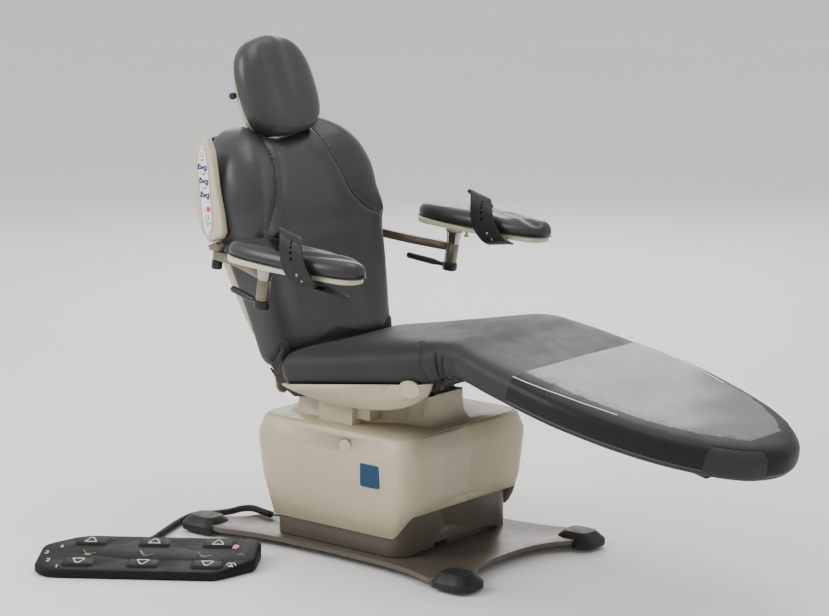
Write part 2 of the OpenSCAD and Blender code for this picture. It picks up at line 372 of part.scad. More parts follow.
// ---------- headrest ----------
hp = [[-127, 0], [-126, 42], [-119, 78], [-103, 102], [-79, 115], [-44, 121.5], [0, 122], [30, 120], [60, 113], [86, 100], [108, 76], [121, 44], [127, 0]];
hpo = concat([for (q = hp) [q[1], q[0]]], [for (i = [11:-1:1]) [-hp[i][1], hp[i][0]]]);   // (y, t) outline, counter-clockwise
module hl(rings) rotate([90, 0, 90]) loft(rings);
module headrest_cushion() color(charcoal) headf() hl([at_z(shrink(hpo, 12), -28), at_z(shrink(hpo, 1), -18), at_z(shrink(hpo, -7), -4), at_z(shrink(hpo, -9), 12), at_z(shrink(hpo, 0), 30), at_z(shrink(hpo, 26), 42)]);
module headrest_shell() color(beige) headf() difference() {
  union() { hl([at_z(shrink(hpo, 46), -60), at_z(shrink(hpo, 20), -54), at_z(shrink(hpo, 4), -38), at_z(shrink(hpo, -1.5), -18.6)]); }
  hl([at_z(shrink(hpo, 49), -57), at_z(shrink(hpo, 24), -51), at_z(shrink(hpo, 9), -37), at_z(shrink(hpo, 3), -28.4), at_z(shrink(hpo, 1.2), -18), at_z(shrink(hpo, 1.2), -10)]);
  translate([-90, -38, -140]) cube([60, 76, 174]);
  translate([-42, 0, -5]) rotate([90, 0, 0]) cylinder(r = 5.05, h = 160);
}
module headrest_bar() color(steel) {
  difference() {
    union() {
      backf() translate([-103, -22, 400]) cube([10, 44, 255]);
      headf() translate([-123, -22, -30]) rotate([0, 0, 0]) plateY([[0, 0], [10, 0], [60, 15], [85, 14], [86, 33], [52, 38], [0, 20]], 8, 36);
      headf() { ycyl(-42, -5, 12, -16, 16); }
    }
    headf() ycyl(-42, -5, 5.05, -200, 200);
  }
}
module headrest_knob() color(black) headf() { ycyl(-42, -5, 5, -122, 30); difference() { ycyl(-42, -5, 9, -130, -121); for (a = [0:60:300]) translate([-42, 0, -5]) rotate([0, a, 0]) translate([11.5, 0, 0]) ycyl(0, 0, 3.5, -132, -122.5); } }
// ---------- legrest ----------
lw = [[36, 242], [60, 250], [130, 264], [230, 276], [330, 284], [400, 283], [480, 274], [560, 258], [640, 234], [700, 208], [750, 178], [800, 136], [838, 84], [858, 0]];
lpo = concat([for (i = [0:13]) [lw[i][0], lw[i][1]]], [for (i = [12:-1:0]) [lw[i][0], -lw[i][1]]]);
function lring(d, z) = [for (q = revd(lpo)) let (c = [400, 0], v = q - c) concat(c + v*(1 - d/norm(v)), [z])];
module legrest_cushion() color(charcoal) legf() translate([0, 0, lt-leg_th]) loft([lring(22, 0.4), lring(7, 6), lring(0, 22), lring(0, leg_th-26), lring(7, leg_th-9), lring(24, leg_th)]);
module foot_cover() color("#b8bcc0", 0.4) legf() translate([0, 0, lt-leg_th]) difference() {
  intersection() { loft([lring(21, -0.4), lring(6.2, 5.6), lring(-0.8, 22), lring(-0.8, leg_th-26), lring(6.2, leg_th-8.3), lring(23.4, leg_th+0.8)]); translate([222, -320, -20]) cube([560, 640, 130]); }
  loft([lring(22, 0.4), lring(7, 6), lring(0, 22), lring(0, leg_th-26), lring(7, leg_th-9), lring(24, leg_th)]);
  translate([200, -330, -20]) cube([700, 660, 34]);
}
module legrest_frame() color(steel) {
  legf() difference() {
    union() {
      translate([60, -150, lt-leg_th-9]) cube([680, 300, 9.2]);
      both() translate([40, 168, lt-leg_th-22]) cube([460, 15, 22.2]);
      both() plateYl([[-14, -8], [-10, 10], [4, 14], [14, 6], [52, 8.2], [52, -14], [14, -14], [-4, -16]], 173, 183);
      rotate([0, -19.2, 0]) plateYl([[-12, 4], [12, 4], [16, -44], [17, -66], [9, -75], [-9, -75], [-17, -66], [-16, -44]], 173, 183);
      translate([60, -183, lt-leg_th-14]) cube([24, 366, 6]);
    }
    both() ycyl(0, 0, 8.05, 150, 220);
    rotate([0, -19.2, 0]) { ycyl(0, -53.5, 6.5, 160, 200); ycyl(0, -60, 6.5, 160, 200); plateYl([[-6.5, -53.5], [-6.5, -60], [6.5, -60], [6.5, -53.5]], 160, 200); }
  }
}
module plateYl(pts, y0, y1) translate([0, y1, 0]) rotate([90, 0, 0]) linear_extrude(y1-y0) polygon(pts);
// ---------- arms (left side; the right is its mirror image) ----------
module arm_bar(rise) color(bronze) armf() difference() {
  union() {
    translate([0, 0, -11]) cylinder(r = 13, h = 22);
    rotate([0, -atan(rise/225), 0]) translate([0, 0, -11]) linear_extrude(22) polygon(concat(arc(0, 0, 13, 108, 288, 8), [[60, 2], [120, 22], [180, 48], [222, 68]], [[226, 82], [176, 62], [116, 36], [56, 16]]));
    translate([230, 75, -43]) cylinder(r = 17, h = 55);
  }
  translate([0, 0, -30]) cylinder(r = 5.05, h = 60);
  translate([230, 75, -80]) cylinder(r = post_r + 0.05, h = 160);
  translate([230, 75, 12.1]) { cylinder(r = 18.3, h = 12.1); translate([0, 0, 12]) cylinder(r1 = 18.3, r2 = 26, h = 30); }
}
module arm_knob() color(black) armf() { translate([0, 0, -16]) cylinder(r = 5, h = 44);
  difference() { translate([0, 0, -35]) cylinder(r = 14, h = 21); for (a = [0:60:300]) rotate([0, 0, a]) translate([17, 0, -42]) cylinder(r = 5, h = 24); } }
module arm_post() color(chrome) postf() {
  translate([0, 0, -60]) cylinder(r = post_r, h = 75);
  rotate_extrude() polygon([[0, 12.3], [17, 12.3], [17.5, 20], [20, 34], [24, 47], [24, 48], [0, 48]]);
}
board_pts = concat(arc(-50, 0, 66, 100, 260, 10), arc(60, 0, 68, 270, 275, 1), arc(255, 0, 44, 285, 435, 9), arc(60, 0, 68, 85, 90, 1));
module arm_board(drop = 0) color(wood) {
  boardf() difference() {
    union() { linear_extrude(13) polygon([for (q = board_pts) q + [8, 0]]);
      for (x = [66, 124]) translate([x, -30, -22]) { cylinder(r = 4, h = 22.5); cylinder(r = 7, h = 4); } }
  }
  translate([0, 0, -drop]) postf() translate([0, 0, 48.05]) cylinder(r = 21, h = 12+drop);
}
function bd(p, e, z) = [for (q = p) let (c = [90, 0], v = q - c) concat(c + v*(1 - e/norm(v)) + [8, 0], [z])];
cu = [for (i = [0:47]) let (a = i*7.5) [103 + 211*pow(abs(cos(a)), 0.9)*sign(cos(a)), 67*pow(abs(sin(a)), 0.72)*sign(sin(a))*(1 - 0.10*cos(a))]];
function cring(e, z) = [for (q = cu) let (c = [103, 0], v = q - c) concat(c + [v[0]*(1 - e/211), v[1]*(1 - e/67)], [z < 14 ? z : 13.2 + (z-13.2)*(q[0] < 60 ? 0.86 + 0.14*(q[0]+108)/168 : 1)])];
module arm_cushion() color(charcoal) boardf() difference() {
  loft([cring(5, 13.2), cring(1, 19), cring(0, 32), cring(5, 46), cring(15, 53), cring(24, 54)]);
  translate([-70, 0, 103]) rotate([0, 89, 0]) cylinder(r = 66, h = 500);
}
sp = [[10, -26], [40, -28], [64, -20], [79, 0], [82, 30], [80, 60], [74, 88], [60, 103], [34, 108], [0, 100], [-40, 82], [-68, 62], [-80, 30], [-78, 0], [-62, -20], [-30, -26]];
module strap_poly(d) polygon([for (i = [0:15]) let (a = sp[(i+15)%16], q = sp[i], b = sp[(i+1)%16], t = (b-a)/norm(b-a)) q + d*[-t[1], t[0]]]);
module arm_strap(m = 0) color(black) boardf() mirror([0, m, 0]) translate([156-strap_w/2, 0, 0]) rotate([90, 0, 90]) linear_extrude(strap_w) difference() { strap_poly(0); strap_poly(3); }
module arm_lever() color(black) postf() {
  difference() { translate([0, 0, -62]) cylinder(r = 20, h = 18.7); translate([0, 0, -60.6]) cylinder(r = post_r + 0.3, h = 30); }
  translate([0, 0, -53]) rotate([0, -90, 12]) { translate([0, 0, 14]) cylinder(r = 6, h = 24); translate([0, 0, 34]) cylinder(r1 = 6, r2 = 8.5, h = 16); translate([0, 0, 50]) cylinder(r = 8.5, h = 74); translate([0, 0, 124]) sphere(r = 8.5); }
}

base_plate();
foot_caps();
levelling_feet();
outer_column();
base_cover();
power_inlet();
power_rocker();
lift_drive();
cord_glands();
foot_cord_leads();
foot_cord_coil();
foot_control_body();  // foot_control
pad(0);  // lift_up_pad
pad(1);  // lift_down_pad
pad(2);  // back_up_pad
pad(3);  // back_down_pad
pad(4);  // leg_up_pad
pad(5);  // leg_down_pad
mid_shroud();
mid_column();
inner_column();
side_covers();
deck_cover();
tilt_bracket();
cover_caps();
tilt_actuator();
tilt_rod();
seat_frame();
seat_side_covers();
seat_cushion();
back_actuator();
leg_actuator();
hinge_pins();
back_rod();
leg_rod();
back_frame();
back_shell();
back_cushion();
control_panel();
headrest_bar();
headrest_shell();
headrest_cushion();
headrest_knob();
legrest_frame();
legrest_cushion();
foot_cover();
side(-1) arm_bar(20);  // arm_bar_right
side(-1) arm_knob();  // arm_knob_right
side(-1) arm_post();  // arm_post_right
side(-1) arm_board();  // arm_board_right
side(-1) arm_cushion();  // arm_cushion_right
side(-1) arm_strap();  // arm_strap_right
side(-1) arm_lever();  // arm_lever_right
side(1) translate([0, 0, -12]) arm_bar(0);  // arm_bar_left
side(1) translate([0, 0, -12]) arm_knob();  // arm_knob_left
side(1) translate([0, 0, -12]) arm_post();  // arm_post_left
side(1) arm_board(12);  // arm_board_left
side(1) arm_cushion();  // arm_cushion_left
side(1) arm_strap(1);  // arm_strap_left
side(1) translate([0, 0, -12]) arm_lever();  // arm_lever_left
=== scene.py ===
import math
import bpy
import bmesh
import numpy as np
from mathutils import Matrix, Vector, noise
from mathutils.bvhtree import BVHTree
from mathutils.kdtree import KDTree


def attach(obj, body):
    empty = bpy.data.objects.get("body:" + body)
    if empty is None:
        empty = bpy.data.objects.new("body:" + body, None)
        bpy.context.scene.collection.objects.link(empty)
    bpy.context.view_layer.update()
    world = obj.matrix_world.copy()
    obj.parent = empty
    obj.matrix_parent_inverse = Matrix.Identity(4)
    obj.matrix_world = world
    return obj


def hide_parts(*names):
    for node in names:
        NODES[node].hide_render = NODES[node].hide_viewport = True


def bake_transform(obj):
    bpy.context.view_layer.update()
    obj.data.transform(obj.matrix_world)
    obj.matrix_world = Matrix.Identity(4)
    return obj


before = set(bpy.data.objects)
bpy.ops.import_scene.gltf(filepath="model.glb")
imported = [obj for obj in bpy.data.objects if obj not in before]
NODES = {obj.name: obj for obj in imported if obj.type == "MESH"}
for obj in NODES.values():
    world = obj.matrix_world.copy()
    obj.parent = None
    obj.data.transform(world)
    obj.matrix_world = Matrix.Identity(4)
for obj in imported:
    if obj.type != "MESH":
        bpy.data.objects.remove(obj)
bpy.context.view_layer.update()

S = 0.001
COLL = bpy.context.scene.collection


# ------------------------------------------------------------------ camera
def make_camera():
    az, pit = math.radians(39.647), math.radians(11.503)
    fwd = Vector((-math.sin(az) * math.cos(pit), math.cos(az) * math.cos(pit), -math.sin(pit)))
    right = Vector((math.cos(az), math.sin(az), 0))
    up = right.cross(fwd)
    cam = bpy.data.objects.new("camera", bpy.data.cameras.new("camera"))
    COLL.objects.link(cam)
    m = Matrix((right, up, -fwd)).transposed().to_4x4()
    m.translation = Vector((5.103, -6.065, 2.230))
    cam.matrix_world = m
    cam.data.sensor_width = 36
    cam.data.lens = 3132.5 / 829 * 36
    cam.data.clip_start, cam.data.clip_end = 0.1, 60
    bpy.context.scene.camera = cam


make_camera()


# ------------------------------------------------------------------ helpers
def T(x, y, z):
    return Matrix.Translation((x * S, y * S, z * S))


def R(axis, deg):
    return Matrix.Rotation(math.radians(deg), 4, axis)


SEAT = T(-162, 0, 437) @ R("Y", -8)
BACK = T(-175, 0, 520) @ R("Y", -20.7)
LEG = T(366, 0, 530) @ R("Y", 12.2)
HEAD = BACK @ T(20, 0, 680)
BOARD = T(-94, 375, 778) @ R("Y", 3)
FCF = T(-303, -596, 0) @ R("Z", 35)
MIR = Matrix.Diagonal((1, -1, 1, 1))


def lerp(a, b, t):
    return a + (b - a) * t


def step(t):
    t = max(0.0, min(1.0, t))
    return t * t * (3 - 2 * t)


def table(rows, x, col=1):
    """Smooth (monotone Hermite) reading of a table of rows at x."""
    if x <= rows[0][0]:
        return rows[0][col]
    if x >= rows[-1][0]:
        return rows[-1][col]
    for i in range(len(rows) - 1):
        if rows[i][0] <= x <= rows[i + 1][0]:
            break
    x0, x1 = rows[i][0], rows[i + 1][0]
    y0, y1 = rows[i][col], rows[i + 1][col]
    h = x1 - x0
    d = (y1 - y0) / h

    def slope(k):
        if k == 0 or k == len(rows) - 1:
            return (rows[1][col] - rows[0][col]) / (rows[1][0] - rows[0][0]) if k == 0 else (rows[-1][col] - rows[-2][col]) / (rows[-1][0] - rows[-2][0])
        a = (rows[k][col] - rows[k - 1][col]) / (rows[k][0] - rows[k - 1][0])
        b = (rows[k + 1][col] - rows[k][col]) / (rows[k + 1][0] - rows[k][0])
        return 0.0 if a * b <= 0 else 2 * a * b / (a + b)

    m0, m1 = slope(i), slope(i + 1)
    t = (x - x0) / h
    return (2 * t**3 - 3 * t**2 + 1) * y0 + (t**3 - 2 * t**2 + t) * h * m0 + (-2 * t**3 + 3 * t**2) * y1 + (t**3 - t**2) * h * m1


def catmull(p, steps):
    """The same smooth route through given points as the CAD source has."""
    p = [np.array(q, float) for q in p]
    out = []
    for i in range(len(p) - 1):
        a, b, c, d = p[max(0, i - 1)], p[i], p[i + 1], p[min(len(p) - 1, i + 2)]
        for k in range(steps):
            t = k / steps
            out.append(0.5 * ((2 * b) + (c - a) * t + (2 * a - 5 * b + 4 * c - d) * t * t + (3 * b - a - 3 * c + d) * t**3))
    out.append(p[-1])
    return np.array(out)


def resample(p, spacing, fine=None):
    """Points along a polyline at about the given spacing."""
    p = np.array(p, float)
    seg = np.linalg.norm(np.diff(p, axis=0), axis=1)
    s = np.concatenate([[0], np.cumsum(seg)])
    n = max(2, int(round(s[-1] / spacing)) + 1)
    u = np.linspace(0, s[-1], n)
    return np.array([[np.interp(v, s, p[:, k]) for k in range(p.shape[1])] for v in u])


def new_obj(name, verts, faces, smooth=True):
    me = bpy.data.meshes.new(name)
    me.from_pydata([tuple(v) for v in verts], [], faces)
    me.validate()
    ob = bpy.data.objects.new(name, me)
    COLL.objects.link(ob)
    bm = bmesh.new()
    bm.from_mesh(me)
    bmesh.ops.remove_doubles(bm, verts=bm.verts, dist=1e-6)
    bmesh.ops.recalc_face_normals(bm, faces=bm.faces)
    bm.to_mesh(me)
    bm.free()
    me.polygons.foreach_set("use_smooth", [smooth] * len(me.polygons))
    me.update()
    return ob


def apply_mods(ob):
    dg = bpy.context.evaluated_depsgraph_get()
    dg.update()
    me = bpy.data.meshes.new_from_object(ob.evaluated_get(dg), depsgraph=dg)
    mats = [s.material for s in ob.material_slots]
    ob.modifiers.clear()
    old = ob.data
    ob.data = me
    ob.data.name = ob.name
    for i, m in enumerate(mats):
        if i < len(me.materials):
            me.materials[i] = m
        else:
            me.materials.append(m)
    bpy.data.meshes.remove(old)
    return ob


def subsurf(ob, levels=1):
    md = ob.modifiers.new("sub", "SUBSURF")
    md.levels = md.render_levels = levels
    apply_mods(ob)
    ob.data.polygons.foreach_set("use_smooth", [True] * len(ob.data.polygons))
    return ob


def co_of(ob):
    a = np.zeros(len(ob.data.vertices) * 3)
    ob.data.vertices.foreach_get("co", a)
    return a.reshape(-1, 3)


def no_of(ob):
    a = np.zeros(len(ob.data.vertices) * 3)
    ob.data.vertices.foreach_get("normal", a)
    return a.reshape(-1, 3)


def set_co(ob, a):
    ob.data.vertices.foreach_set("co", np.asarray(a, float).ravel())
    ob.data.update()


def to_local(M, co):
    """World metres to a frame's own millimetres."""
    m = np.array(M.inverted())
    return (co @ m[:3, :3].T + m[:3, 3]) / S


def to_world(M, p):
    m = np.array(M)
    return (np.asarray(p, float) * S) @ m[:3, :3].T + m[:3, 3]


def loft(name, rings, end0="cap", end1="cap", closed=True):
    """Quads between rings of points (metres). zip closes a ring that is symmetric about its first and middle points."""
    n, m = len(rings[0]), len(rings)
    verts = [v for r in rings for v in r]
    faces = []
    for j in range(m - 1):
        for i in range(n if closed else n - 1):
            k = (i + 1) % n
            faces.append([j * n + i, j * n + k, (j + 1) * n + k, (j + 1) * n + i])
    for j, how in ((0, end0), (m - 1, end1)):
        b = j * n
        if how == "cap":
            c = len(verts)
            verts.append(np.mean(np.array(rings[j]), axis=0))
            faces += [[b + i, b + (i + 1) % n, c] for i in range(n)]
        elif how == "zip":
            faces.append([b, b + 1, b + n - 1])
            faces += [[b + i, b + i + 1, b + n - i - 1, b + n - i] for i in range(1, n // 2 - 1)]
            faces.append([b + n // 2 - 1, b + n // 2, b + n // 2 + 1])
    return new_obj(name, verts, faces)


def tube(name, pts, r, sides=8, caps=True, flat=1.0):
    """A round tube along points in metres, with frames carried along without twist. r is a number or a list."""
    p = np.array(pts, float)
    m = len(p)
    rr = np.full(m, r) if np.isscalar(r) else np.array(r, float)
    d = np.gradient(p, axis=0)
    d /= np.linalg.norm(d, axis=1, keepdims=True)
    a = np.array([0, 0, 1.0]) if abs(d[0][2]) < 0.9 else np.array([1.0, 0, 0])
    u = np.cross(d[0], a)
    u /= np.linalg.norm(u)
    rings = []
    for i in range(m):
        u = u - d[i] * (u @ d[i])
        u /= np.linalg.norm(u)
        v = np.cross(d[i], u)
        rings.append([p[i] + rr[i] * (u * math.cos(2 * math.pi * k / sides) + flat * v * math.sin(2 * math.pi * k / sides)) for k in range(sides)])
    return loft(name, rings, "cap" if caps else None, "cap" if caps else None)


# ------------------------------------------------------------------ materials
def lin(r, g, b):
    def f(c):
        c /= 255
        return c / 12.92 if c <= 0.04045 else ((c + 0.055) / 1.055) ** 2.4
    return (f(r), f(g), f(b), 1)


def scale_c(c, k):
    return (min(1, c[0] * k), min(1, c[1] * k), min(1, c[2] * k), 1)


class Mat:
    def __init__(self, name, color, rough, metallic=0.0, spec=0.5, var=0.06, vscale=7.0, rvar=0.05, rscale=14.0, wear=None, dust=0.0):
        self.m = bpy.data.materials.new(name)
        self.m.use_nodes = True
        self.m.diffuse_color = color
        t = self.t = self.m.node_tree
        t.nodes.clear()
        self.out = t.nodes.new("ShaderNodeOutputMaterial")
        self.b = t.nodes.new("ShaderNodeBsdfPrincipled")
        t.links.new(self.b.outputs[0], self.out.inputs[0])
        self.b.inputs["Metallic"].default_value = metallic
        self.b.inputs["Specular IOR Level"].default_value = spec
        self.co = t.nodes.new("ShaderNodeTexCoord")
        self.src = self.co.outputs["Object"]
        n = self.noise(vscale, 4, 0.55)
        mr = self.maprange(n.outputs["Fac"], 0.3, 0.7, 0, 1)
        mix = self.mix(mr, scale_c(color, 1 - var), scale_c(color, 1 + var))
        self.color = mix.outputs[2]
        if wear:
            wcol, amount, lo, hi = wear
            g = t.nodes.new("ShaderNodeNewGeometry")
            w = self.maprange(g.outputs["Pointiness"], lo, hi, 0, 1)
            nz = self.noise(60, 3, 0.6)
            w2 = self.math("MULTIPLY", w, self.maprange(nz.outputs["Fac"], 0.35, 0.65, 0.2, 1))
            w3 = self.math("MULTIPLY", w2, None, amount)
            self.color = self.mix(w3, self.color, wcol).outputs[2]
        t.links.new(self.color, self.b.inputs["Base Color"])
        n2 = self.noise(rscale, 3, 0.5)
        self.rough = self.maprange(n2.outputs["Fac"], 0.3, 0.7, max(0.02, rough - rvar), min(1, rough + rvar))
        t.links.new(self.rough, self.b.inputs["Roughness"])
        self.normal = None

    def noise(self, scale, detail=3, rough=0.5, src=None, distortion=0.0):
        n = self.t.nodes.new("ShaderNodeTexNoise")
        n.inputs["Scale"].default_value = scale
        n.inputs["Detail"].default_value = detail
        n.inputs["Roughness"].default_value = rough
        n.inputs["Distortion"].default_value = distortion
        self.t.links.new(src or self.src, n.inputs["Vector"])
        return n

    def voronoi(self, scale, feature="F1", rand=1.0, src=None):
        n = self.t.nodes.new("ShaderNodeTexVoronoi")
        n.feature = feature
        n.inputs["Scale"].default_value = scale
        n.inputs["Randomness"].default_value = rand
        self.t.links.new(src or self.src, n.inputs["Vector"])
        return n

    def stretch(self, sx, sy, sz, rot=(0, 0, 0)):
        n = self.t.nodes.new("ShaderNodeMapping")
        n.inputs["Scale"].default_value = (sx, sy, sz)
        n.inputs["Rotation"].default_value = rot
        self.t.links.new(self.src, n.inputs["Vector"])
        return n.outputs[0]

    def maprange(self, sock, a, b, c, d):
        n = self.t.nodes.new("ShaderNodeMapRange")
        self.t.links.new(sock, n.inputs[0])
        for i, v in enumerate((a, b, c, d)):
            n.inputs[1 + i].default_value = v
        return n.outputs[0]

    def math(self, op, a, b, val=None):
        n = self.t.nodes.new("ShaderNodeMath")
        n.operation = op
        self.t.links.new(a, n.inputs[0])
        if b is not None:
            self.t.links.new(b, n.inputs[1])
        elif val is not None:
            n.inputs[1].default_value = val
        return n.outputs[0]

    def mix(self, fac, a, b):
        n = self.t.nodes.new("ShaderNodeMix")
        n.data_type = "RGBA"
        self.t.links.new(fac, n.inputs[0])
        for i, v in ((6, a), (7, b)):
            if isinstance(v, tuple):
                n.inputs[i].default_value = v
            else:
                self.t.links.new(v, n.inputs[i])

        class O:
            outputs = {2: n.outputs[2]}
        return O

    def bump(self, height, strength, distance):
        n = self.t.nodes.new("ShaderNodeBump")
        n.inputs["Strength"].default_value = strength
        n.inputs["Distance"].default_value = distance
        self.t.links.new(height, n.inputs["Height"])
        if self.normal is not None:
            self.t.links.new(self.normal, n.inputs["Normal"])
        self.normal = n.outputs[0]
        self.t.links.new(self.normal, self.b.inputs["Normal"])
        return self

    def set(self, **kw):
        for k, v in kw.items():
            self.b.inputs[k.replace("_", " ")].default_value = v
        return self


def vinyl(name, color, rough=0.4, wr=0.25, grain=0.22):
    m = Mat(name, color, rough, spec=0.5, var=0.07, vscale=5, rvar=0.05, rscale=22, wear=(scale_c(color, 1.5), 0.35, 0.53, 0.62))
    warp = m.noise(40, 2, 0.5)
    g1 = m.voronoi(560, "SMOOTH_F1")
    g2 = m.noise(1500, 2, 0.6)
    m.bump(m.noise(7, 4, 0.5, distortion=0.6).outputs["Fac"], wr * 0.5, 0.004)
    m.bump(m.noise(38, 3, 0.55, distortion=1.2).outputs["Fac"], wr * 0.4, 0.0008)
    m.bump(g1.outputs["Distance"], grain, 0.0003)
    m.bump(g2.outputs["Fac"], grain * 0.6, 0.0001)
    m.set(Sheen_Weight=0.02, Sheen_Roughness=0.4, Specular_IOR_Level=0.30)
    return m


def plastic(name, color, rough=0.42, bumps=0.12, wear=0.35, spec=0.45):
    m = Mat(name, color, rough, spec=spec, var=0.025, vscale=4, rvar=0.05, rscale=30, wear=(scale_c(color, 1.22), wear, 0.51, 0.6))
    m.bump(m.noise(900, 2, 0.6).outputs["Fac"], bumps, 0.00025)
    m.bump(m.noise(6, 2, 0.5).outputs["Fac"], 0.05, 0.004)
    return m


def metal(name, color, rough, bumps=0.05, brushed=None, wear=0.3):
    m = Mat(name, color, rough, metallic=1.0, var=0.05, vscale=20, rvar=0.06, rscale=60, wear=(scale_c(color, 1.25), wear, 0.51, 0.6))
    src = m.stretch(*brushed) if brushed else m.src
    m.bump(m.noise(500, 2, 0.6, src=src).outputs["Fac"], bumps, 0.0002)
    return m


def rubber(name, color, rough=0.6):
    m = Mat(name, color, rough, spec=0.4, var=0.12, vscale=18, rvar=0.08, rscale=40, wear=(scale_c(color, 1.9), 0.35, 0.52, 0.62))
    m.bump(m.noise(700, 3, 0.65).outputs["Fac"], 0.25, 0.0003)
    return m


VINYL = vinyl("vinyl_charcoal", lin(54, 54, 55), 0.46)
VINYL.set(Specular_IOR_Level=0.17)
VINYL_BACK = vinyl("vinyl_charcoal_back", lin(55, 55, 56), 0.38)
VINYL_BACK.set(Specular_IOR_Level=0.45)
VINYL_ARM = vinyl("vinyl_charcoal_arm", lin(44, 44, 45), 0.34)
VINYL_ARM.set(Specular_IOR_Level=0.45)
# A darker, shaded copy of the charcoal vinyl: painted shade, used for the seam beads in their grooves, the flap under
# the knee and the collar behind the headrest.
VINYL_SHADE = vinyl("vinyl_shadow", lin(34, 34, 35), 0.5)
BEIGE = plastic("plastic_putty", lin(190, 178, 150), 0.4)
BEIGE_SATIN = plastic("plastic_putty_panel", lin(204, 194, 168), 0.5)
TAUPE = plastic("plastic_taupe", lin(86, 79, 70), 0.4)
PLATE = metal("paint_plate", lin(96, 89, 80), 0.36, 0.05)
PLATE.set(Metallic=0.35)
BLACK = plastic("plastic_black", lin(24, 24, 25), 0.38, 0.3, 0.25)
BLACKPAD = plastic("plastic_pad", lin(30, 30, 31), 0.45, 0.3, 0.3)
RUBBER = rubber("rubber_black", lin(26, 26, 26), 0.55)
STRAPM = rubber("rubber_strap", lin(25, 25, 26), 0.56)
CORDM = rubber("rubber_cord", lin(22, 22, 23), 0.42)
ZINC = metal("zinc_steel", lin(150, 150, 150), 0.36, 0.12)
IRON = metal("cast_iron", lin(70, 66, 62), 0.5, 0.3)
STUD = metal("stud_steel", lin(150, 147, 140), 0.3, 0.05)
CHROME = metal("polished_steel", lin(172, 169, 163), 0.14, 0.02)
BRONZE = metal("bronze_paint", lin(124, 114, 100), 0.34, 0.15)
BRONZE.set(Metallic=0.65)
CREAM = Mat("board_cream", lin(214, 205, 176), 0.45, var=0.05, vscale=9, wear=(lin(170, 155, 120), 0.3, 0.52, 0.6))
CREAM.bump(CREAM.noise(220, 3, 0.6, src=CREAM.stretch(1, 1, 6)).outputs["Fac"], 0.15, 0.0003)
LABEL = plastic("label_film", lin(240, 243, 241), 0.35, 0.05, 0.1)
FCBLACK = plastic("plastic_black_matte", lin(17, 17, 18), 0.62, 0.35, 0.12, spec=0.22)
FCPAD = plastic("plastic_pad_matte", lin(21, 21, 22), 0.6, 0.35, 0.15, spec=0.25)
INK_WHITE = plastic("ink_white", lin(226, 226, 224), 0.5, 0.05, 0.0)
INK_GREY = plastic("ink_grey", lin(120, 126, 132), 0.5, 0.05, 0.0)
INK_NAVY = plastic("ink_navy", lin(38, 54, 88), 0.5, 0.05, 0.0)
INK_YELLOW = plastic("ink_yellow", lin(214, 172, 40), 0.5, 0.05, 0.0)
INK_RED = plastic("ink_red", lin(214, 62, 58), 0.5, 0.05, 0.0)
INK_PINK = plastic("ink_pink", lin(222, 120, 128), 0.5, 0.05, 0.0)
BLUE = plastic("badge_blue", lin(2, 58, 94), 0.3, 0.03, 0.3)
TAB = plastic("lining_cloth", lin(74, 70, 60), 0.9, 0.5, 0.0, spec=0.1)
# Near-black: painted shade for the strap holes.
STRAP_HOLE_SHADE = plastic("strap_hole_painted_shade", lin(8, 8, 8), 0.9, 0.05, 0.0, spec=0.1)


def paint(ob, mat):
    m = mat.m if isinstance(mat, Mat) else mat
    if ob.material_slots:
        for s in ob.material_slots:
            s.material = m
    else:
        ob.data.materials.append(m)
    return ob


# ------------------------------------------------------------------ cord
COIL = catmull([[-452, -470, 16], [-452, -436, 10], [-470, -385, 10], [-510, -285, 10], [-533, -210, 10], [-528, -165, 10], [-500, -143, 12], [-462, -128, 20], [-424, -120, 33], [-384, -120, 41], [-340, -128, 41], [-300, -135, 41]], 12)
LEAD_A = catmull([[-417.9, -522.6, 22], [-426, -511, 22], [-436, -497, 21], [-445, -484, 19], [-451.6, -471.4, 16.4]], 6)
LEAD_B = catmull([[-298.8, -135.2, 41.2], [-280, -137, 44], [-260, -137, 46], [-236, -137, 46], [-215, -137, 46]], 6)
WIRE, PITCH, COIL_R = 4.8, 5.6, 6.8


def make_cord():
    mid = resample(COIL[::-1], 1.0)
    d = np.gradient(mid, axis=0)
    d /= np.linalg.norm(d, axis=1, keepdims=True)
    length = np.linalg.norm(np.diff(mid, axis=0), axis=1).sum()
    turns = int(round((length - 8) / PITCH))
    u = np.cross(d[0], (0, 0, 1.0))
    u /= np.linalg.norm(u)
    fu = []
    for i in range(len(mid)):
        u = u - d[i] * (u @ d[i])
        u /= np.linalg.norm(u)
        fu.append(u)
    fu = np.array(fu)
    fv = np.cross(d, fu)
    per = 14
    total = turns * per
    helix = []
    for k in range(total + 1):
        s = k / total * (len(mid) - 1)
        i = min(int(s), len(mid) - 2)
        f = s - i
        c = mid[i] * (1 - f) + mid[i + 1] * f
        uu = fu[i] * (1 - f) + fu[i + 1] * f
        vv = fv[i] * (1 - f) + fv[i + 1] * f
        a = 2 * math.pi * k / per
        r = COIL_R * step(k / (per * 1.2)) * step((total - k) / (per * 1.2))
        helix.append(c + r * (uu * math.cos(a) + vv * math.sin(a)))
    b = LEAD_B[::-1]
    b = b[b[:, 0] > -298]
    a = LEAD_A[::-1][1:]
    pts = np.vstack([b, helix, a]) * S
    cu = bpy.data.curves.new("foot_cord", "CURVE")
    cu.dimensions = "3D"
    sp = cu.splines.new("POLY")
    sp.points.add(len(pts) - 1)
    sp.points.foreach_set("co", np.hstack([pts, np.ones((len(pts), 1))]).ravel())
    cu.bevel_depth = WIRE / 2 * S
    cu.bevel_resolution = 3
    cu.use_fill_caps = True
    ob = bpy.data.objects.new("foot_cord", cu)
    COLL.objects.link(ob)
    ob.data.materials.append(CORDM.m)
    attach(ob, "base")
    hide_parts("foot_cord_leads", "foot_cord_coil")
    return ob


make_cord()


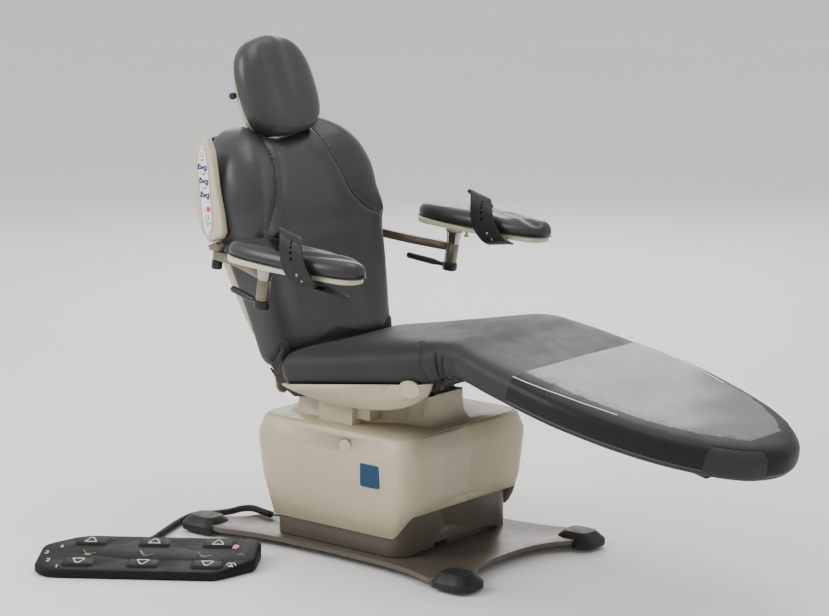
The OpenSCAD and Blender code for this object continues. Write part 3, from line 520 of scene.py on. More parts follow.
# ------------------------------------------------------------------ carried-over CAD nodes
def dress(node, mat, bevel=0.8, angle=32, seg=2):
    if node not in NODES:
        return
    ob = NODES[node]
    paint(ob, mat)
    ob.data.polygons.foreach_set("use_smooth", [True] * len(ob.data.polygons))
    ob.data.set_sharp_from_angle(angle=math.radians(angle))
    w = ob.modifiers.new("weld", "WELD")
    w.merge_threshold = 2e-5
    if bevel:
        b = ob.modifiers.new("bevel", "BEVEL")
        b.width = bevel * S
        b.segments = seg
        b.limit_method = "ANGLE"
        b.angle_limit = math.radians(angle)
        b.harden_normals = True
        b.use_clamp_overlap = True


for node, mat, bev in [
    ("base_plate", PLATE, 1.2), ("foot_caps", RUBBER, 1.5), ("levelling_feet", ZINC, 0.5), ("outer_column", ZINC, 0.6), ("base_cover", TAUPE, 1.5),
    ("power_inlet", BLACK, 0.6), ("power_rocker", BLACKPAD, 0.5), ("lift_drive", IRON, 0.8), ("cord_glands", RUBBER, 0.4), ("foot_control", FCBLACK, 1.2),
    ("lift_up_pad", FCPAD, 0.8), ("lift_down_pad", FCPAD, 0.8), ("back_up_pad", FCPAD, 0.8), ("back_down_pad", FCPAD, 0.8), ("leg_up_pad", FCPAD, 0.8), ("leg_down_pad", FCPAD, 0.8),
    ("mid_shroud", TAUPE, 1.5), ("mid_column", ZINC, 0.6), ("inner_column", ZINC, 0.6), ("side_covers", BEIGE, 0), ("deck_cover", BEIGE, 1.0), ("tilt_bracket", IRON, 0.8), ("cover_caps", BEIGE, 0.8),
    ("tilt_actuator", IRON, 0.8), ("tilt_rod", CHROME, 0.4), ("seat_frame", IRON, 0.8), ("seat_side_covers", BEIGE, 0), ("back_actuator", IRON, 0.6), ("leg_actuator", IRON, 0.6), ("hinge_pins", ZINC, 0.4),
    ("back_rod", CHROME, 0.4), ("leg_rod", CHROME, 0.4), ("back_frame", BRONZE, 0.8), ("back_shell", BEIGE, 1.2), ("control_panel", BEIGE_SATIN, 1.5), ("headrest_bar", ZINC, 0.6), ("headrest_shell", BEIGE, 1.0), ("headrest_knob", BLACK, 0.8),
    ("legrest_frame", IRON, 0.8),
    ("arm_bar_right", BRONZE, 1.2), ("arm_knob_right", BLACK, 0.8), ("arm_post_right", CHROME, 0.5), ("arm_board_right", CREAM, 1.5), ("arm_lever_right", BLACK, 0.8),
    ("arm_bar_left", BRONZE, 1.2), ("arm_knob_left", BLACK, 0.8), ("arm_post_left", CHROME, 0.5), ("arm_board_left", CREAM, 1.5), ("arm_lever_left", BLACK, 0.8),
]:
    dress(node, mat, bev)


# ------------------------------------------------------------------ padding
def press_line(ob, line, depth, width, sharp=0.5, sides=None):
    """Sinks the surface along a sewn line: line is points in metres, depth and width in millimetres."""
    co, no = co_of(ob), no_of(ob)
    kd = KDTree(len(line))
    for i, p in enumerate(line):
        kd.insert(p, i)
    kd.balance()
    w = width * S
    out = co.copy()
    for i, c in enumerate(co):
        _, _, d = kd.find(c)
        if d < w:
            t = 1 - d / w
            out[i] = c - no[i] * depth * S * (sharp * t + (1 - sharp) * t * t * (3 - 2 * t))
    set_co(ob, out)


def on_surface(ob, pts, lift=0.0):
    """Each point moved to the nearest place on the piece, lifted by some millimetres."""
    me = ob.data
    bv = BVHTree.FromPolygons([v.co for v in me.vertices], [p.vertices[:] for p in me.polygons])
    out = []
    for p in pts:
        loc, nrm, _, _ = bv.find_nearest(Vector(p))
        out.append(np.array(loc + nrm * lift * S))
    return np.array(out)


def seam(name, ob, pts, mat=None, r=0.9, lift=-0.2, spacing=4, smooth=2):
    line = on_surface(ob, resample(pts, spacing * S), lift)
    for _ in range(smooth):
        line[1:-1] = (line[:-2] + 2 * line[1:-1] + line[2:]) / 4
    t = tube(name, line, r * S, 6)
    # Unless given a material, the bead takes the shaded copy of the vinyl: painted shade in the seam's groove.
    paint(t, mat or VINYL_SHADE)
    return t


# --- seat and legrest: one upholstery skin over the knee hinge
LW = [(36, 242), (60, 250), (130, 264), (230, 276), (330, 284), (400, 283), (480, 274), (560, 258), (640, 234), (700, 208), (750, 178), (800, 136), (838, 84), (858, 0)]


def sth(x):
    return 82 * (1 + 0.34 * x / 500)


def seat_outline():
    half = [(-172, y) for y in np.linspace(0, 190, 14)]
    half += [(-134 - 38 * math.cos(math.radians(a)), 204 + 38 * math.sin(math.radians(a))) for a in (0, 12, 24, 36, 48, 60, 72, 84)]
    half += [(x, 242) for x in np.arange(-130, 300, 12)]
    half += [(x, 242) for x in np.arange(303, 400, 3)]
    ctrl = [(366 + a, b) for a, b in LW] + [(366 + 838, -84)]
    c = catmull([(400, 242)] + ctrl, 10)
    c = c[c[:, 1] > -0.5]
    c = c[c[:, 0] > 401]
    c = resample(c, 9)
    half += [tuple(q) for q in c[:-1]]
    tip = [(366 + 858, 0)]
    return half + tip + [(x, -y) for x, y in half[:0:-1]]


SEAT_P = [(70, 0.0), (17, -0.03), (5, 0.0), (-1, 0.09), (-5, 0.23), (-7, 0.38), (-6, 0.52), (-1, 0.665), (8, 0.785), (20, 0.875), (37, 0.94), (58, 0.985), (84, 1.02)]
LEG_P = [(70, 0.4), (26, 0.4), (13, 3.5), (4, 12), (0, 24), (0, 38), (0.8, 50), (4, 60), (10, 68), (19, 74.5), (31, 78.3), (50, 80), (80, 81)]


def sl_point(P, k, frac=None):
    x, y = P
    spine = Vector((max(60, min(1030, x)), 0))
    v = spine - Vector((x, y))
    L = v.length
    w = step((x - 300) / 135)
    if frac is None:
        ds, fs = SEAT_P[k]
        dl, zl = LEG_P[k]
        top = fs
    else:
        ds = dl = lerp(84, L, frac)
        fs, zl = 1.02 + 0.035 * frac, 81 + 1.0 * frac
    q1 = Vector((x, y)) + v * min(1, ds / L)
    q2 = Vector((x, y)) + v * min(1, dl / L)
    xs = (q1.x + 162) / math.cos(math.radians(8))
    a = SEAT @ Vector((xs * S, q1.y * S, fs * sth(xs) * S))
    xl = q2.x - 366
    b = LEG @ Vector((xl * S, q2.y * S, (8 + zl) * S))
    p = a.lerp(b, w)
    return np.array(p)


def make_seat():
    out = seat_outline()
    rings = [[sl_point(P, k) for P in out] for k in range(len(SEAT_P))]
    for f in (0.2, 0.42, 0.66, 0.9):
        rings.append([sl_point(P, 0, f) for P in out])
    ob = loft("seat_leg_upholstery", rings, "zip", "zip")
    subsurf(ob, 1)
    co, no = co_of(ob) / S, no_of(ob)
    base = co.copy()
    X, Y, Z = co.T
    s = np.sign(Y)
    # the gusset at the knee is drawn in and gathers in a few folds
    side = np.clip((np.abs(Y) - 214) / 18, 0, 1)
    xc = 349 + (575 - Z) * 0.20
    ez = np.clip((600 - Z) / 34, 0, 1)
    ez = ez * ez * (3 - 2 * ez)
    g = np.exp(-(((X - xc) / 15) ** 2))
    g2 = np.exp(-(((X - xc + 4 - (Z - 545) * 0.05) / 3.0) ** 2)) * np.clip((598 - Z) / 14, 0, 1)
    g3 = np.exp(-(((X - xc - 5 - (Z - 520) * 0.26) / 3.2) ** 2)) * np.clip((594 - Z) / 14, 0, 1)
    fold = (-3.0 * g - 8.0 * g2 - 6.5 * g3) * ez * side
    fold += 2.0 * np.exp(-(((X - xc - 2) / 3.5) ** 2)) * ez * side
    co[:, 1] += s * fold
    # the bottom of the bridge stays above the hinge ears
    under = (X > 332) & (X < 402) & (np.abs(Y) < 216) & (no[:, 2] < -0.3)
    co[under, 2] = np.maximum(co[under, 2], 561)
    # soft hollows where people sit, and long slow waves in the skin
    top = np.clip((no[:, 2] - 0.6) / 0.3, 0, 1)
    co[:, 2] += top * (-5 * np.exp(-(((X - 20) / 110) ** 2) - ((Y / 130) ** 2)) + 2.0 * np.exp(-(((X - 200) / 90) ** 2) - ((Y / 60) ** 2)))
    wv = np.array([noise.noise(Vector((x / 90, y / 120, z / 90))) for x, y, z in co])
    co += no * (wv * 1.1)[:, None]
    # the middle of the seat, where the rings of the mesh run together, is one smooth hollow
    d0 = np.hypot(base[:, 0] - 45, base[:, 1])
    up = base[:, 2] > 520
    fit = up & (d0 > 55) & (d0 < 120) & (no[:, 2] > 0.6)

    def quad(q):
        x, y = q[:, 0] - 45, q[:, 1]
        return np.stack([np.ones(len(x)), x, y, x * x, x * y, y * y], 1) * (1, 1e-2, 1e-2, 1e-4, 1e-4, 1e-4)
    k_, *_ = np.linalg.lstsq(quad(base[fit]), co[fit, 2], rcond=None)
    w0 = np.clip((62 - d0) / 22, 0, 1) * up
    w0 = w0 * w0 * (3 - 2 * w0)
    co[:, 2] = co[:, 2] * (1 - w0) + (quad(base) @ k_) * w0
    co[:, :2] = co[:, :2] * (1 - w0[:, None]) + base[:, :2] * w0[:, None]
    set_co(ob, co * S)
    for sg in (-1, 1):
        line = resample(np.array([(268, sg * 222, 617), (277, sg * 234, 605), (291, sg * 241, 586), (303, sg * 243, 550), (314, sg * 243, 522), (324, sg * 240, 500)]) * S, 3 * S)
        press_line(ob, on_surface(ob, line), 2.6, 9)
    paint(ob, VINYL)
    return ob


SEAT_OB = make_seat()
seams = []
for sg, nm in ((-1, "right"), (1, "left")):
    seams.append(seam("knee_seam_" + nm, SEAT_OB, np.array([(262, sg * 214, 621), (277, sg * 234, 605), (291, sg * 243, 586), (303, sg * 246, 550), (314, sg * 246, 522), (325, sg * 242, 498)]) * S, r=0.9))
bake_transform(SEAT_OB)
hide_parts("seat_cushion", "legrest_cushion")
for sg, nm in ((-1, "right"), (1, "left")):
    line = np.array([sl_point((x, sg * 242), 9) for x in range(-118, 262, 6)]) * S
    seams.append(seam("edge_seam_" + nm, SEAT_OB, line, r=0.8, lift=0.35, smooth=10))
for q in seams:
    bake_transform(q)


# --- clear cover over the foot end
def make_film():
    me = SEAT_OB.data
    co = co_of(SEAT_OB)
    no = no_of(SEAT_OB)
    loc = to_local(LEG, co)
    keep = {}
    verts, faces = [], []
    ln = no @ np.array(LEG.to_3x3())
    for p in me.polygons:
        v = list(p.vertices)
        c = loc[v].mean(0)
        nz = ln[v].mean(0)[2]
        if c[0] < 222 or nz < -0.35:
            continue
        corner = c[0] > 742 and abs(c[1]) > 62 and nz < 0.93
        if corner:
            continue
        f = []
        for i in v:
            if i not in keep:
                keep[i] = len(verts)
                verts.append(co[i] + no[i] * 0.0011)
            f.append(keep[i])
        faces.append(f)
    ob = new_obj("foot_end_cover", verts, faces)
    return ob


FILM = Mat("clear_film_over_vinyl", lin(48, 48, 49), 0.46, spec=0.18, var=0.05, vscale=5)
FILM.bump(FILM.noise(3.2, 3, 0.5, distortion=0.5).outputs["Fac"], 0.05, 0.005)
FILM.bump(FILM.noise(24, 3, 0.6, distortion=1.6, src=FILM.stretch(0.5, 1.6, 1)).outputs["Fac"], 0.08, 0.0009)
FILM.set(Coat_Roughness=0.14, Coat_IOR=1.62)


def film_coat_and_painted_reflection():
    """The taut flat top of the cover and its turned-under lower edge get the clear coat and a lighter base colour, a
    painted reflection; the shoulder and the side keep a darker base colour.
    """
    t = FILM.t
    mp = t.nodes.new("ShaderNodeMapping")
    mp.vector_type = "POINT"
    inv = LEG.inverted()
    mp.inputs["Location"].default_value = inv.translation
    mp.inputs["Rotation"].default_value = inv.to_euler("XYZ")
    t.links.new(FILM.src, mp.inputs["Vector"])
    sx = t.nodes.new("ShaderNodeSeparateXYZ")
    t.links.new(mp.outputs[0], sx.inputs[0])
    ay = FILM.math("ABSOLUTE", sx.outputs[1], None)
    # y of the edge: 0.205 at the knee end, drawn in towards the toe
    u = FILM.math("SUBTRACT", sx.outputs[0], None, 0.23)
    u2 = FILM.math("MULTIPLY", u, u)
    u4 = FILM.math("MULTIPLY", u2, u2)
    e = FILM.math("ADD", FILM.math("MULTIPLY", u2, None, -0.10), FILM.math("MULTIPLY", u4, None, -1.55))
    e = FILM.math("ADD", e, None, 0.214)
    nz = FILM.noise(34, 4, 0.65)
    e = FILM.math("ADD", e, FILM.maprange(nz.outputs["Fac"], 0.3, 0.7, -0.006, 0.006))
    e = FILM.math("ADD", e, FILM.maprange(sx.outputs[1], 0.0, 0.02, 0, 0.035))
    d = FILM.math("SUBTRACT", e, ay)
    toe = FILM.math("SUBTRACT", FILM.math("MULTIPLY", sx.outputs[0], None, -1.0), None, -0.776)
    d = FILM.math("MINIMUM", d, toe)
    top = FILM.maprange(d, -0.0015, 0.0015, 0, 1)
    # fine crinkles where the film bends over the near edge
    zone = FILM.math("MULTIPLY", FILM.maprange(d, 0.010, 0.045, 1, 0), FILM.maprange(sx.outputs[1], -0.04, 0.0, 1, 0))
    cn = FILM.math("ABSOLUTE", FILM.math("SUBTRACT", FILM.noise(30, 3, 0.6, distortion=2.0).outputs["Fac"], None, 0.5), None)
    crinkle = FILM.math("MULTIPLY", zone, FILM.maprange(cn, 0.016, 0.040, 0.9, 0))
    top = FILM.math("MULTIPLY", top, FILM.maprange(crinkle, 0, 1, 1, 0))
    low = FILM.maprange(sx.outputs[2], 0.026, 0.030, 0.9, 0)
    m = FILM.math("MAXIMUM", top, low)
    t.links.new(FILM.maprange(m, 0, 1, 0.03, 0.40), FILM.b.inputs["Coat Weight"])
    # Base colour: painted reflection, lighter where the mask is on (top and turned-under lower edge), darker on the
    # shoulder and side.
    c = FILM.mix(m, scale_c(lin(48, 48, 49), 0.45), lin(92, 92, 92))
    t.links.new(c.outputs[2], FILM.b.inputs["Base Color"])


film_coat_and_painted_reflection()
film = make_film()
paint(film, FILM)
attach(film, "legrest")
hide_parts("foot_cover")
# A near-white glossy bead along each near rim of the cover: a painted highlight for the bright streak of light along
# the film's edge.
PAINTED_GLINT = plastic("film_painted_glint", lin(236, 236, 236), 0.12, 0.02, 0.0, spec=0.8)
for sg, nm in ((-1, "right"), (1, "left")):
    rim = to_world(LEG, [(217, sg * 253, 80), (260, sg * 254, 80), (300, sg * 253, 80), (345, sg * 249.5, 80), (387, sg * 245, 80), (430, sg * 239, 80), (468, sg * 231, 80), (492, sg * 226, 80), (510, sg * 221, 80)])
    line = on_surface(SEAT_OB, catmull(rim, 6), 1.3)
    for _ in range(6):
        line[1:-1] = (line[:-2] + 2 * line[1:-1] + line[2:]) / 4
    q = tube("film_edge_" + nm, line, 1.9 * S, 8, flat=0.5)
    paint(q, PAINTED_GLINT)
    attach(q, "legrest")


# --- back
BWID = [(-34, 218), (-10, 234), (14, 239), (60, 241), (160, 248), (240, 256), (300, 265), (360, 269), (420, 269), (480, 259), (530, 238), (565, 209), (586, 176), (597, 140)]
N0 = [(-34, -36), (-14, -18), (4, -6), (24, -2), (60, 1), (120, 6), (200, 17), (300, 30), (360, 40), (420, 46), (480, 41), (520, 30), (555, 12), (580, -6), (600, -22)]
YS = [(200, 330), (272, 272), (299, 215), (332, 180), (371, 150), (422, 132), (475, 115), (517, 109), (555, 103), (600, 98)]


def back_outline():
    half = [(y, -32) for y in np.linspace(0, 200, 15)]
    half += [(212, -30), (222, -25), (230, -17), (235, -7), (238, 3)]
    c = catmull([(239, 12), (241, 60), (247.5, 160), (256, 240), (265, 300), (269, 360), (269, 420), (259, 480), (238, 530), (209, 565), (176, 586), (148, 596), (126, 598), (112, 588), (97, 576), (78, 564), (41, 556), (0, 554)], 8)
    c = resample(c, 9)
    half += [tuple(q) for q in c[:-1]]
    return half + [(0, 554)] + [(-y, t) for y, t in half[:0:-1]]


def back_n(y, t):
    y = abs(y)
    ys = table(YS, t)
    n = table(N0, t)
    wid = table(BWID, t)
    s = y - ys
    if s > 0:
        span = max(40.0, wid - ys)
        n += 24 * math.sin(math.pi * min(1, s / span) ** 1.36) * step((t - 262) / 70)
    else:
        n += (-4.5 * (1 - (y / max(60, ys)) ** 2) + 6.5 * math.exp(-(((s + 17) / 22) ** 2))) * step((t - 250) / 60) * step((590 - t) / 90)
    n += 22 * step((y - 118) / 112) * table([(-10, 0), (40, 0.25), (130, 0.85), (200, 1), (285, 1), (330, 0.35), (365, 0)], t)
    n += 4 * math.exp(-((y / 95) ** 2)) * math.exp(-(((t - 130) / 90) ** 2)) * -1
    n -= 5.5 * math.exp(-math.sqrt(s * s + 2.0) / 5.5) * step((t - 262) / 30)
    return n


BACK_P = [(60, -80), (14, -80), (4, -75), (0, -64), (0, -48)]
BACK_F = [(0.5, 42), (3, 31), (8, 21), (16, 12.5), (27, 6), (41, 2), (58, 0.3)]


def make_back():
    out = back_outline()

    def inset(P, d, frac=None):
        y, t = P
        sp = Vector((0, max(70, min(440, t))))
        v = sp - Vector((y, t))
        L = v.length
        if frac is not None:
            d = lerp(58, L, frac)
        return Vector((y, t)) + v * min(0.999, d / L)

    rings = []
    for d, n in BACK_P:
        rings.append([(lambda q: (n, q.x, q.y))(inset(P, d)) for P in out])
    for d, dn in BACK_F:
        row = []
        for P in out:
            q = inset(P, d)
            nn = back_n(q.x, q.y) - dn
            low = step((60 - P[1]) / 60) * step((abs(q.x) - 120) / 60)
            row.append((max(-47, nn), q.x, q.y))
        rings.append(row)
    for f in np.linspace(0.05, 0.97, 24):
        rings.append([(lambda q: (back_n(q.x, q.y), q.x, q.y))(inset(P, 0, f)) for P in out])
    rings = [[to_world(BACK, p) for p in r] for r in rings]
    ob = loft("back_upholstery", rings, "zip", "zip")
    subsurf(ob, 2)
    return ob


BACK_OB = make_back()
back_lines = []
for sg in (-1, 1):
    pts = [(back_n(ys, t) + 4, sg * ys, t) for t, ys in [(t, table(YS, t)) for t in np.arange(262, 592, 6)] if abs(ys) < 268]
    back_lines.append(resample(to_world(BACK, pts), 3 * S))
for ln_ in back_lines:
    press_line(BACK_OB, on_surface(BACK_OB, ln_), 1.2, 8)
paint(BACK_OB, VINYL_BACK)
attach(BACK_OB, "back")
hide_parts("back_cushion")
for ln_, nm in zip(back_lines, ("right", "left")):
    q = seam("back_seam_" + nm, BACK_OB, ln_, r=1.0, lift=0.15, smooth=8)
    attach(q, "back")


# --- headrest
HP = [(-127, 0), (-126, 42), (-119, 78), (-103, 102), (-79, 115), (-44, 121.5), (0, 122), (30, 120), (60, 113), (86, 100), (108, 76), (121, 44), (127, 0)]


def head_outline(n=96):
    half = [(b, a) for a, b in HP]
    full = half + [(-b, a) for b, a in half[-2:0:-1]]
    c = catmull(full + [full[0], full[1], full[2]], 10)
    c = c[10:-19]
    k = np.argmin(np.abs(c[:, 0]) + (c[:, 1] > 0) * 999)
    half = catmull([(-42, -126)] + half + [(-44, 121)], 8)[8:-8]
    half = resample(half, 8)
    half[0][0] = half[-1][0] = 0
    return [tuple(q) for q in half] + [(-y, t) for y, t in half[-2:0:-1]]


def make_headrest():
    out = head_outline()
    prof = [(50, -28), (8, -28), (-2, -25), (-7, -17), (-9, -6), (-10, 5), (-8, 16), (-3, 25), (6, 33), (18, 38.5), (34, 41.5), (56, 43)]

    def front(y, t, base):
        lobes = 2.2 * math.cos(2 * math.pi * y / 84) * math.exp(-((y / 95) ** 2)) * step((t + 120) / 120)
        dish = -4.0 * math.exp(-((y / 42) ** 2) - (((t + 40) / 70) ** 2))
        return base + lobes + dish

    rings = []
    for d, n in prof:
        r = []
        for y, t in out:
            L = math.hypot(y, t)
            k = 1 - min(0.95, d / L)
            w = step((n - 14) / 24)
            r.append((n if w == 0 else lerp(n, front(y * k, t * k, n), w), y * k, t * k))
        rings.append(r)
    for f in (0.2, 0.4, 0.6, 0.8, 0.95):
        r = []
        for y, t in out:
            L = math.hypot(y, t)
            k = lerp(1 - 56 / L, 0, f)
            r.append((front(y * k, t * k, 43 + 2.0 * f), y * k, t * k))
        rings.append(r)
    rings = [[to_world(HEAD, p) for p in r] for r in rings]
    ob = loft("headrest_upholstery", rings, "cap", "cap")
    subsurf(ob, 1)
    return ob


HEAD_OB = make_headrest()
paint(HEAD_OB, VINYL_BACK)
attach(HEAD_OB, "headrest")
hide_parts("headrest_cushion")


# --- arm cushions and wrist straps
def cu_outline(n=108):
    pts = []
    for i in range(n):
        a = 2 * math.pi * i / n
        c, s_ = math.cos(a), math.sin(a)
        pts.append((103 + 211 * abs(c) ** 0.9 * math.copysign(1, c), 67 * abs(s_) ** 0.72 * math.copysign(1, s_) * (1 - 0.10 * c)))
    return pts


def arm_top(x, y, z):
    """Height of the cushion's skin: a fold runs in an S from the far side of the middle to the near side of the tip."""
    yc = lerp(16, -40, step((x - 110) / 190))
    on = step((x - 50) / 70) * step((322 - x) / 40)
    valley = 10 * math.exp(-(((y - yc - 15) / 14) ** 2)) + 3.5 * math.exp(-(((y - yc + 24) / 13) ** 2))
    ridge = 4.0 * math.exp(-(((y - yc) / 8.5) ** 2))
    back = 0.86 + 0.14 * step((x + 108) / 168)
    return 13.2 + (z - 13.2) * back + (ridge - valley) * on * step((z - 38) / 14)


def make_arm(side):
    M = BOARD if side == "left" else MIR @ BOARD
    out = cu_outline()
    prof = [(24, 13.2), (5, 13.2), (1.5, 16), (0, 22), (0, 29), (2, 36.5), (6, 43), (11, 48), (18, 52), (26, 54.4)]
    rings = []
    for d, z in prof:
        r = []
        for x, y in out:
            cx = max(40, min(250, x))
            v = Vector((cx - x, -y))
            k = min(0.95, d / v.length)
            q = (x + v.x * k, y + v.y * k)
            r.append((q[0], q[1], arm_top(q[0], q[1], z)))
        rings.append(r)
    for f in (0.12, 0.24, 0.36, 0.48, 0.6, 0.72, 0.84, 0.96):
        r = []
        for x, y in out:
            cx = max(40, min(250, x))
            v = Vector((cx - x, -y))
            k = lerp(26 / v.length, 1, f)
            q = (x + v.x * k, y + v.y * k)
            r.append((q[0], q[1], arm_top(q[0], q[1], 54.4 + 2.2 * f)))
        rings.append(r)
    rings = [[to_world(M, p) for p in r] for r in rings]
    ob = loft("arm_pad_" + side, rings, "cap", None)
    bm = bmesh.new()
    bm.from_mesh(ob.data)
    edges = [e for e in bm.edges if e.is_boundary]
    bmesh.ops.holes_fill(bm, edges=edges)
    bmesh.ops.triangulate(bm, faces=[f for f in bm.faces if len(f.verts) > 4])
    bmesh.ops.recalc_face_normals(bm, faces=bm.faces)
    bm.to_mesh(ob.data)
    bm.free()
    subsurf(ob, 1)
    paint(ob, VINYL_ARM)
    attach(ob, "arm_board_" + side)
    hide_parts("arm_cushion_" + side)
    # welt along the board
    for z, d, nm, r in ((14.6, -0.6, "low", 1.5),):
        line = []
        for x, y in out:
            cx = max(40, min(250, x))
            v = Vector((cx - x, -y))
            k = d / v.length
            px_, py_ = x + v.x * k, y + v.y * k
            line.append((px_, py_, z if nm == "low" else arm_top(px_, py_, z)))
        line.append(line[0])
        line.append(line[1])
        q = tube("arm_welt_" + side + "_" + nm, to_world(M, line), r * S, 6, caps=False)
        paint(q, VINYL_ARM)
        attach(q, "arm_board_" + side)
    return ob


ARM = {s: make_arm(s) for s in ("left", "right")}

SP = [(10, -26), (40, -28), (64, -20), (79, 0), (82, 30), (80, 60), (74, 88), (60, 105), (34, 112), (0, 100), (-40, 82), (-68, 62), (-80, 30), (-78, 0), (-62, -20), (-30, -26)]


# section by section: rear edge and front edge of the band, in the board's own frame
BAND = [((86, -50, 113), (160, -52, 97)), ((104, -69, 104), (178, -71, 85)), ((112, -77, 80), (186, -77, 71)), ((115, -79, 54), (190, -79, 58)), ((120, -80, 36), (198, -80, 44)),
        ((128, -80, 19), (206, -80, 31)), ((142, -80, 2), (216, -79, 18)), ((156, -78, -10), (225, -77, 6)), ((166, -70, -18), (232, -68, -3)), ((168, -54, -22), (232, -52, -10)),
        ((158, -26, -23), (222, -26, -15)), ((112, 10, -24), (178, 10, -19)), ((60, 46, -24), (126, 46, -21)), ((14, 70, -18), (82, 70, -17)), ((-24, 80, -4), (50, 80, -4)),
        ((-50, 82, 16), (28, 82, 16)), ((-62, 79, 34), (18, 79, 34)), ((-58, 66, 51), (22, 66, 51)), ((-28, 38, 63), (48, 38, 63)), ((18, 0, 73), (92, 0, 70)), ((64, -36, 96), (134, -36, 86))]


BAND_FAR = [((104, 10, -24), (176, 10, -19)), ((76, 46, -24), (146, 46, -21)), ((50, 70, -18), (118, 70, -17)), ((26, 80, -4), (98, 80, -4)), ((12, 82, 18), (82, 82, 16)),
            ((6, 79, 40), (72, 79, 36)), ((10, 66, 60), (72, 68, 54)), ((22, 40, 76), (88, 40, 68)), ((42, 2, 90), (112, 2, 78)), ((66, -34, 103), (138, -34, 89))]


def make_strap(side):
    """A perforated rubber band round board and cushion: the camera-facing half stands up in a peak, the rest slants back round the far side."""
    M = T(-94, 375 if side == "left" else -375, 778) @ R("Y", 3)
    rows = BAND if side == "right" else BAND[:11] + BAND_FAR
    L = catmull([q[0] for q in rows + rows[:3]], 8)[8:8 + 8 * len(rows)]
    F = catmull([q[1] for q in rows + rows[:3]], 8)[8:8 + 8 * len(rows)]
    n, nu = len(L), 14
    verts, faces = [], []
    for j in range(n):
        for i in range(nu + 1):
            u = i / nu
            verts.append(L[j] * (1 - u) + F[j] * u)
    nv = nu + 1
    for j in range(n):
        k = (j + 1) % n
        for i in range(nu):
            faces.append([j * nv + i, j * nv + i + 1, k * nv + i + 1, k * nv + i])
    ob = new_obj("wrist_strap_" + side, to_world(M, verts), faces)
    band = [v.co.copy() for v in ob.data.vertices]
    bv = BVHTree.FromPolygons(band, [q.vertices[:] for q in ob.data.polygons])
    sol = ob.modifiers.new("thick", "SOLIDIFY")
    sol.thickness = 3 * S
    sol.offset = 0
    bev = ob.modifiers.new("bev", "BEVEL")
    bev.width = 0.7 * S
    bev.segments = 2
    bev.limit_method = "ANGLE"
    bev.angle_limit = math.radians(40)
    apply_mods(ob)
    ob.data.polygons.foreach_set("use_smooth", [True] * len(ob.data.polygons))
    ob.data.set_sharp_from_angle(angle=math.radians(50))
    paint(ob, STRAPM)
    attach(ob, "arm_board_" + side)
    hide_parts("arm_strap_" + side)

    def button(name, at, r, mat, dome=0.0, ring=0.0):
        loc, nrm, _, _ = bv.find_nearest(Vector(to_world(M, [at])[0]))
        if nrm.dot(Vector((0.3, -1, 0.1))) < 0:
            nrm = -nrm
        q = nrm.to_track_quat("Z", "Y").to_matrix()
        rings = []
        for rr, h in ((r, 0.9), (r, 1.9), (r * 0.8, 2.0 + dome * 0.6), (r * 0.4, 2.0 + dome)) if not ring else ((r, 0.9), (r, 1.9), (r - 0.5, 2.3), (r - ring, 2.3), (r - ring - 0.4, 1.7), (r * 0.2, 1.7)):
            rings.append([loc + q @ Vector((rr * S * math.cos(a), rr * S * math.sin(a), h * S)) for a in np.linspace(0, 2 * math.pi, 20, endpoint=False)])
        o = loft(name, [[tuple(v) for v in r_] for r_ in rings])
        paint(o, mat)
        o.parent = ob

    # The holes are near-black discs on the band: painted shade in place of the view through the holes.
    for k, (at, r) in enumerate((((148.2, -79, 94), 2.6), ((148.5, -79, 86), 2.8), ((149, -79, 77), 3.1), ((150, -79, 64), 3.7), ((153.4, -79, 48.3), 4.2))):
        button(f"strap_hole_{side}_{k}", at, r, STRAP_HOLE_SHADE)
    button(f"strap_ring_{side}", (161, -79, 29), 4.6, STRAPM, ring=1.3)
    button(f"strap_stud_{side}_a", (174.3, -79, 11.8), 4.2, STUD, dome=1.2)
    button(f"strap_stud_{side}_b", (190, -78, -1), 3.2, STUD, dome=1.0)
    if side == "left":
        return ob
    # the strap's pointed tail, under the board
    pts = [(214, -40, -17, 26), (246, -43, -20, 25), (276, -46, -22.5, 23), (296, -47, -24, 18), (312, -48, -25, 9), (317, -48, -25.3, 3)]
    rings = []
    for x, y, z, w in pts:
        rings.append([(x, y - w, z + 1.4), (x, y + w, z + 1.4), (x, y + w, z - 1.4), (x, y - w, z - 1.4)])
    o = loft(f"strap_tail_{side}", [to_world(M, r_) for r_ in rings])
    bev = o.modifiers.new("bev", "BEVEL")
    bev.width, bev.segments, bev.limit_method = 0.8 * S, 2, "ANGLE"
    apply_mods(o)
    paint(o, STRAPM)
    o.parent = ob
    return ob


for s_ in ("left", "right"):
    make_strap(s_)


# ------------------------------------------------------------------ printed marks
def ink(name, M, line, r, mat, body, closed=False, flat=0.45):
    """A printed line: a low rounded bead of ink along points of a frame (mm)."""
    p = [tuple(q) for q in line]
    if closed:
        p = p + [p[0]]
    pts = resample(to_world(M, p), 2.5 * S)
    o = tube(name, pts, r * S, 6)
    paint(o, mat)
    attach(o, body)
    return o


def disc(name, M, at, r, h, mat, body, normal=(0, 0, 1), squash=1.0):
    q = Vector(normal).to_track_quat("Z", "Y").to_matrix()
    rings = []
    for rr, z in ((r, -0.6), (r, h * 0.7), (r * 0.9, h), (r * 0.4, h * 1.1)):
        rings.append(to_world(M, [tuple(Vector(at) + q @ Vector((rr * math.cos(a), squash * rr * math.sin(a), z))) for a in np.linspace(0, 2 * math.pi, 28, endpoint=False)]))
    o = loft(name, rings)
    paint(o, mat)
    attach(o, body)
    return o


DIGITS = {"1": [[(0.1, 0.7), (0.5, 1), (0.5, 0)]], "2": [[(0, 0.8), (0.25, 1), (0.75, 1), (1, 0.75), (0.9, 0.5), (0, 0), (1, 0)]],
          "3": [[(0, 0.85), (0.3, 1), (0.8, 1), (1, 0.75), (0.6, 0.52), (1, 0.25), (0.8, 0), (0.25, 0), (0, 0.15)]], "4": [[(0.75, 0), (0.75, 1), (0, 0.3), (1, 0.3)]]}
TS = math.tan(math.radians(5.5))


def fz(y, up):
    return 34 + y * TS + up


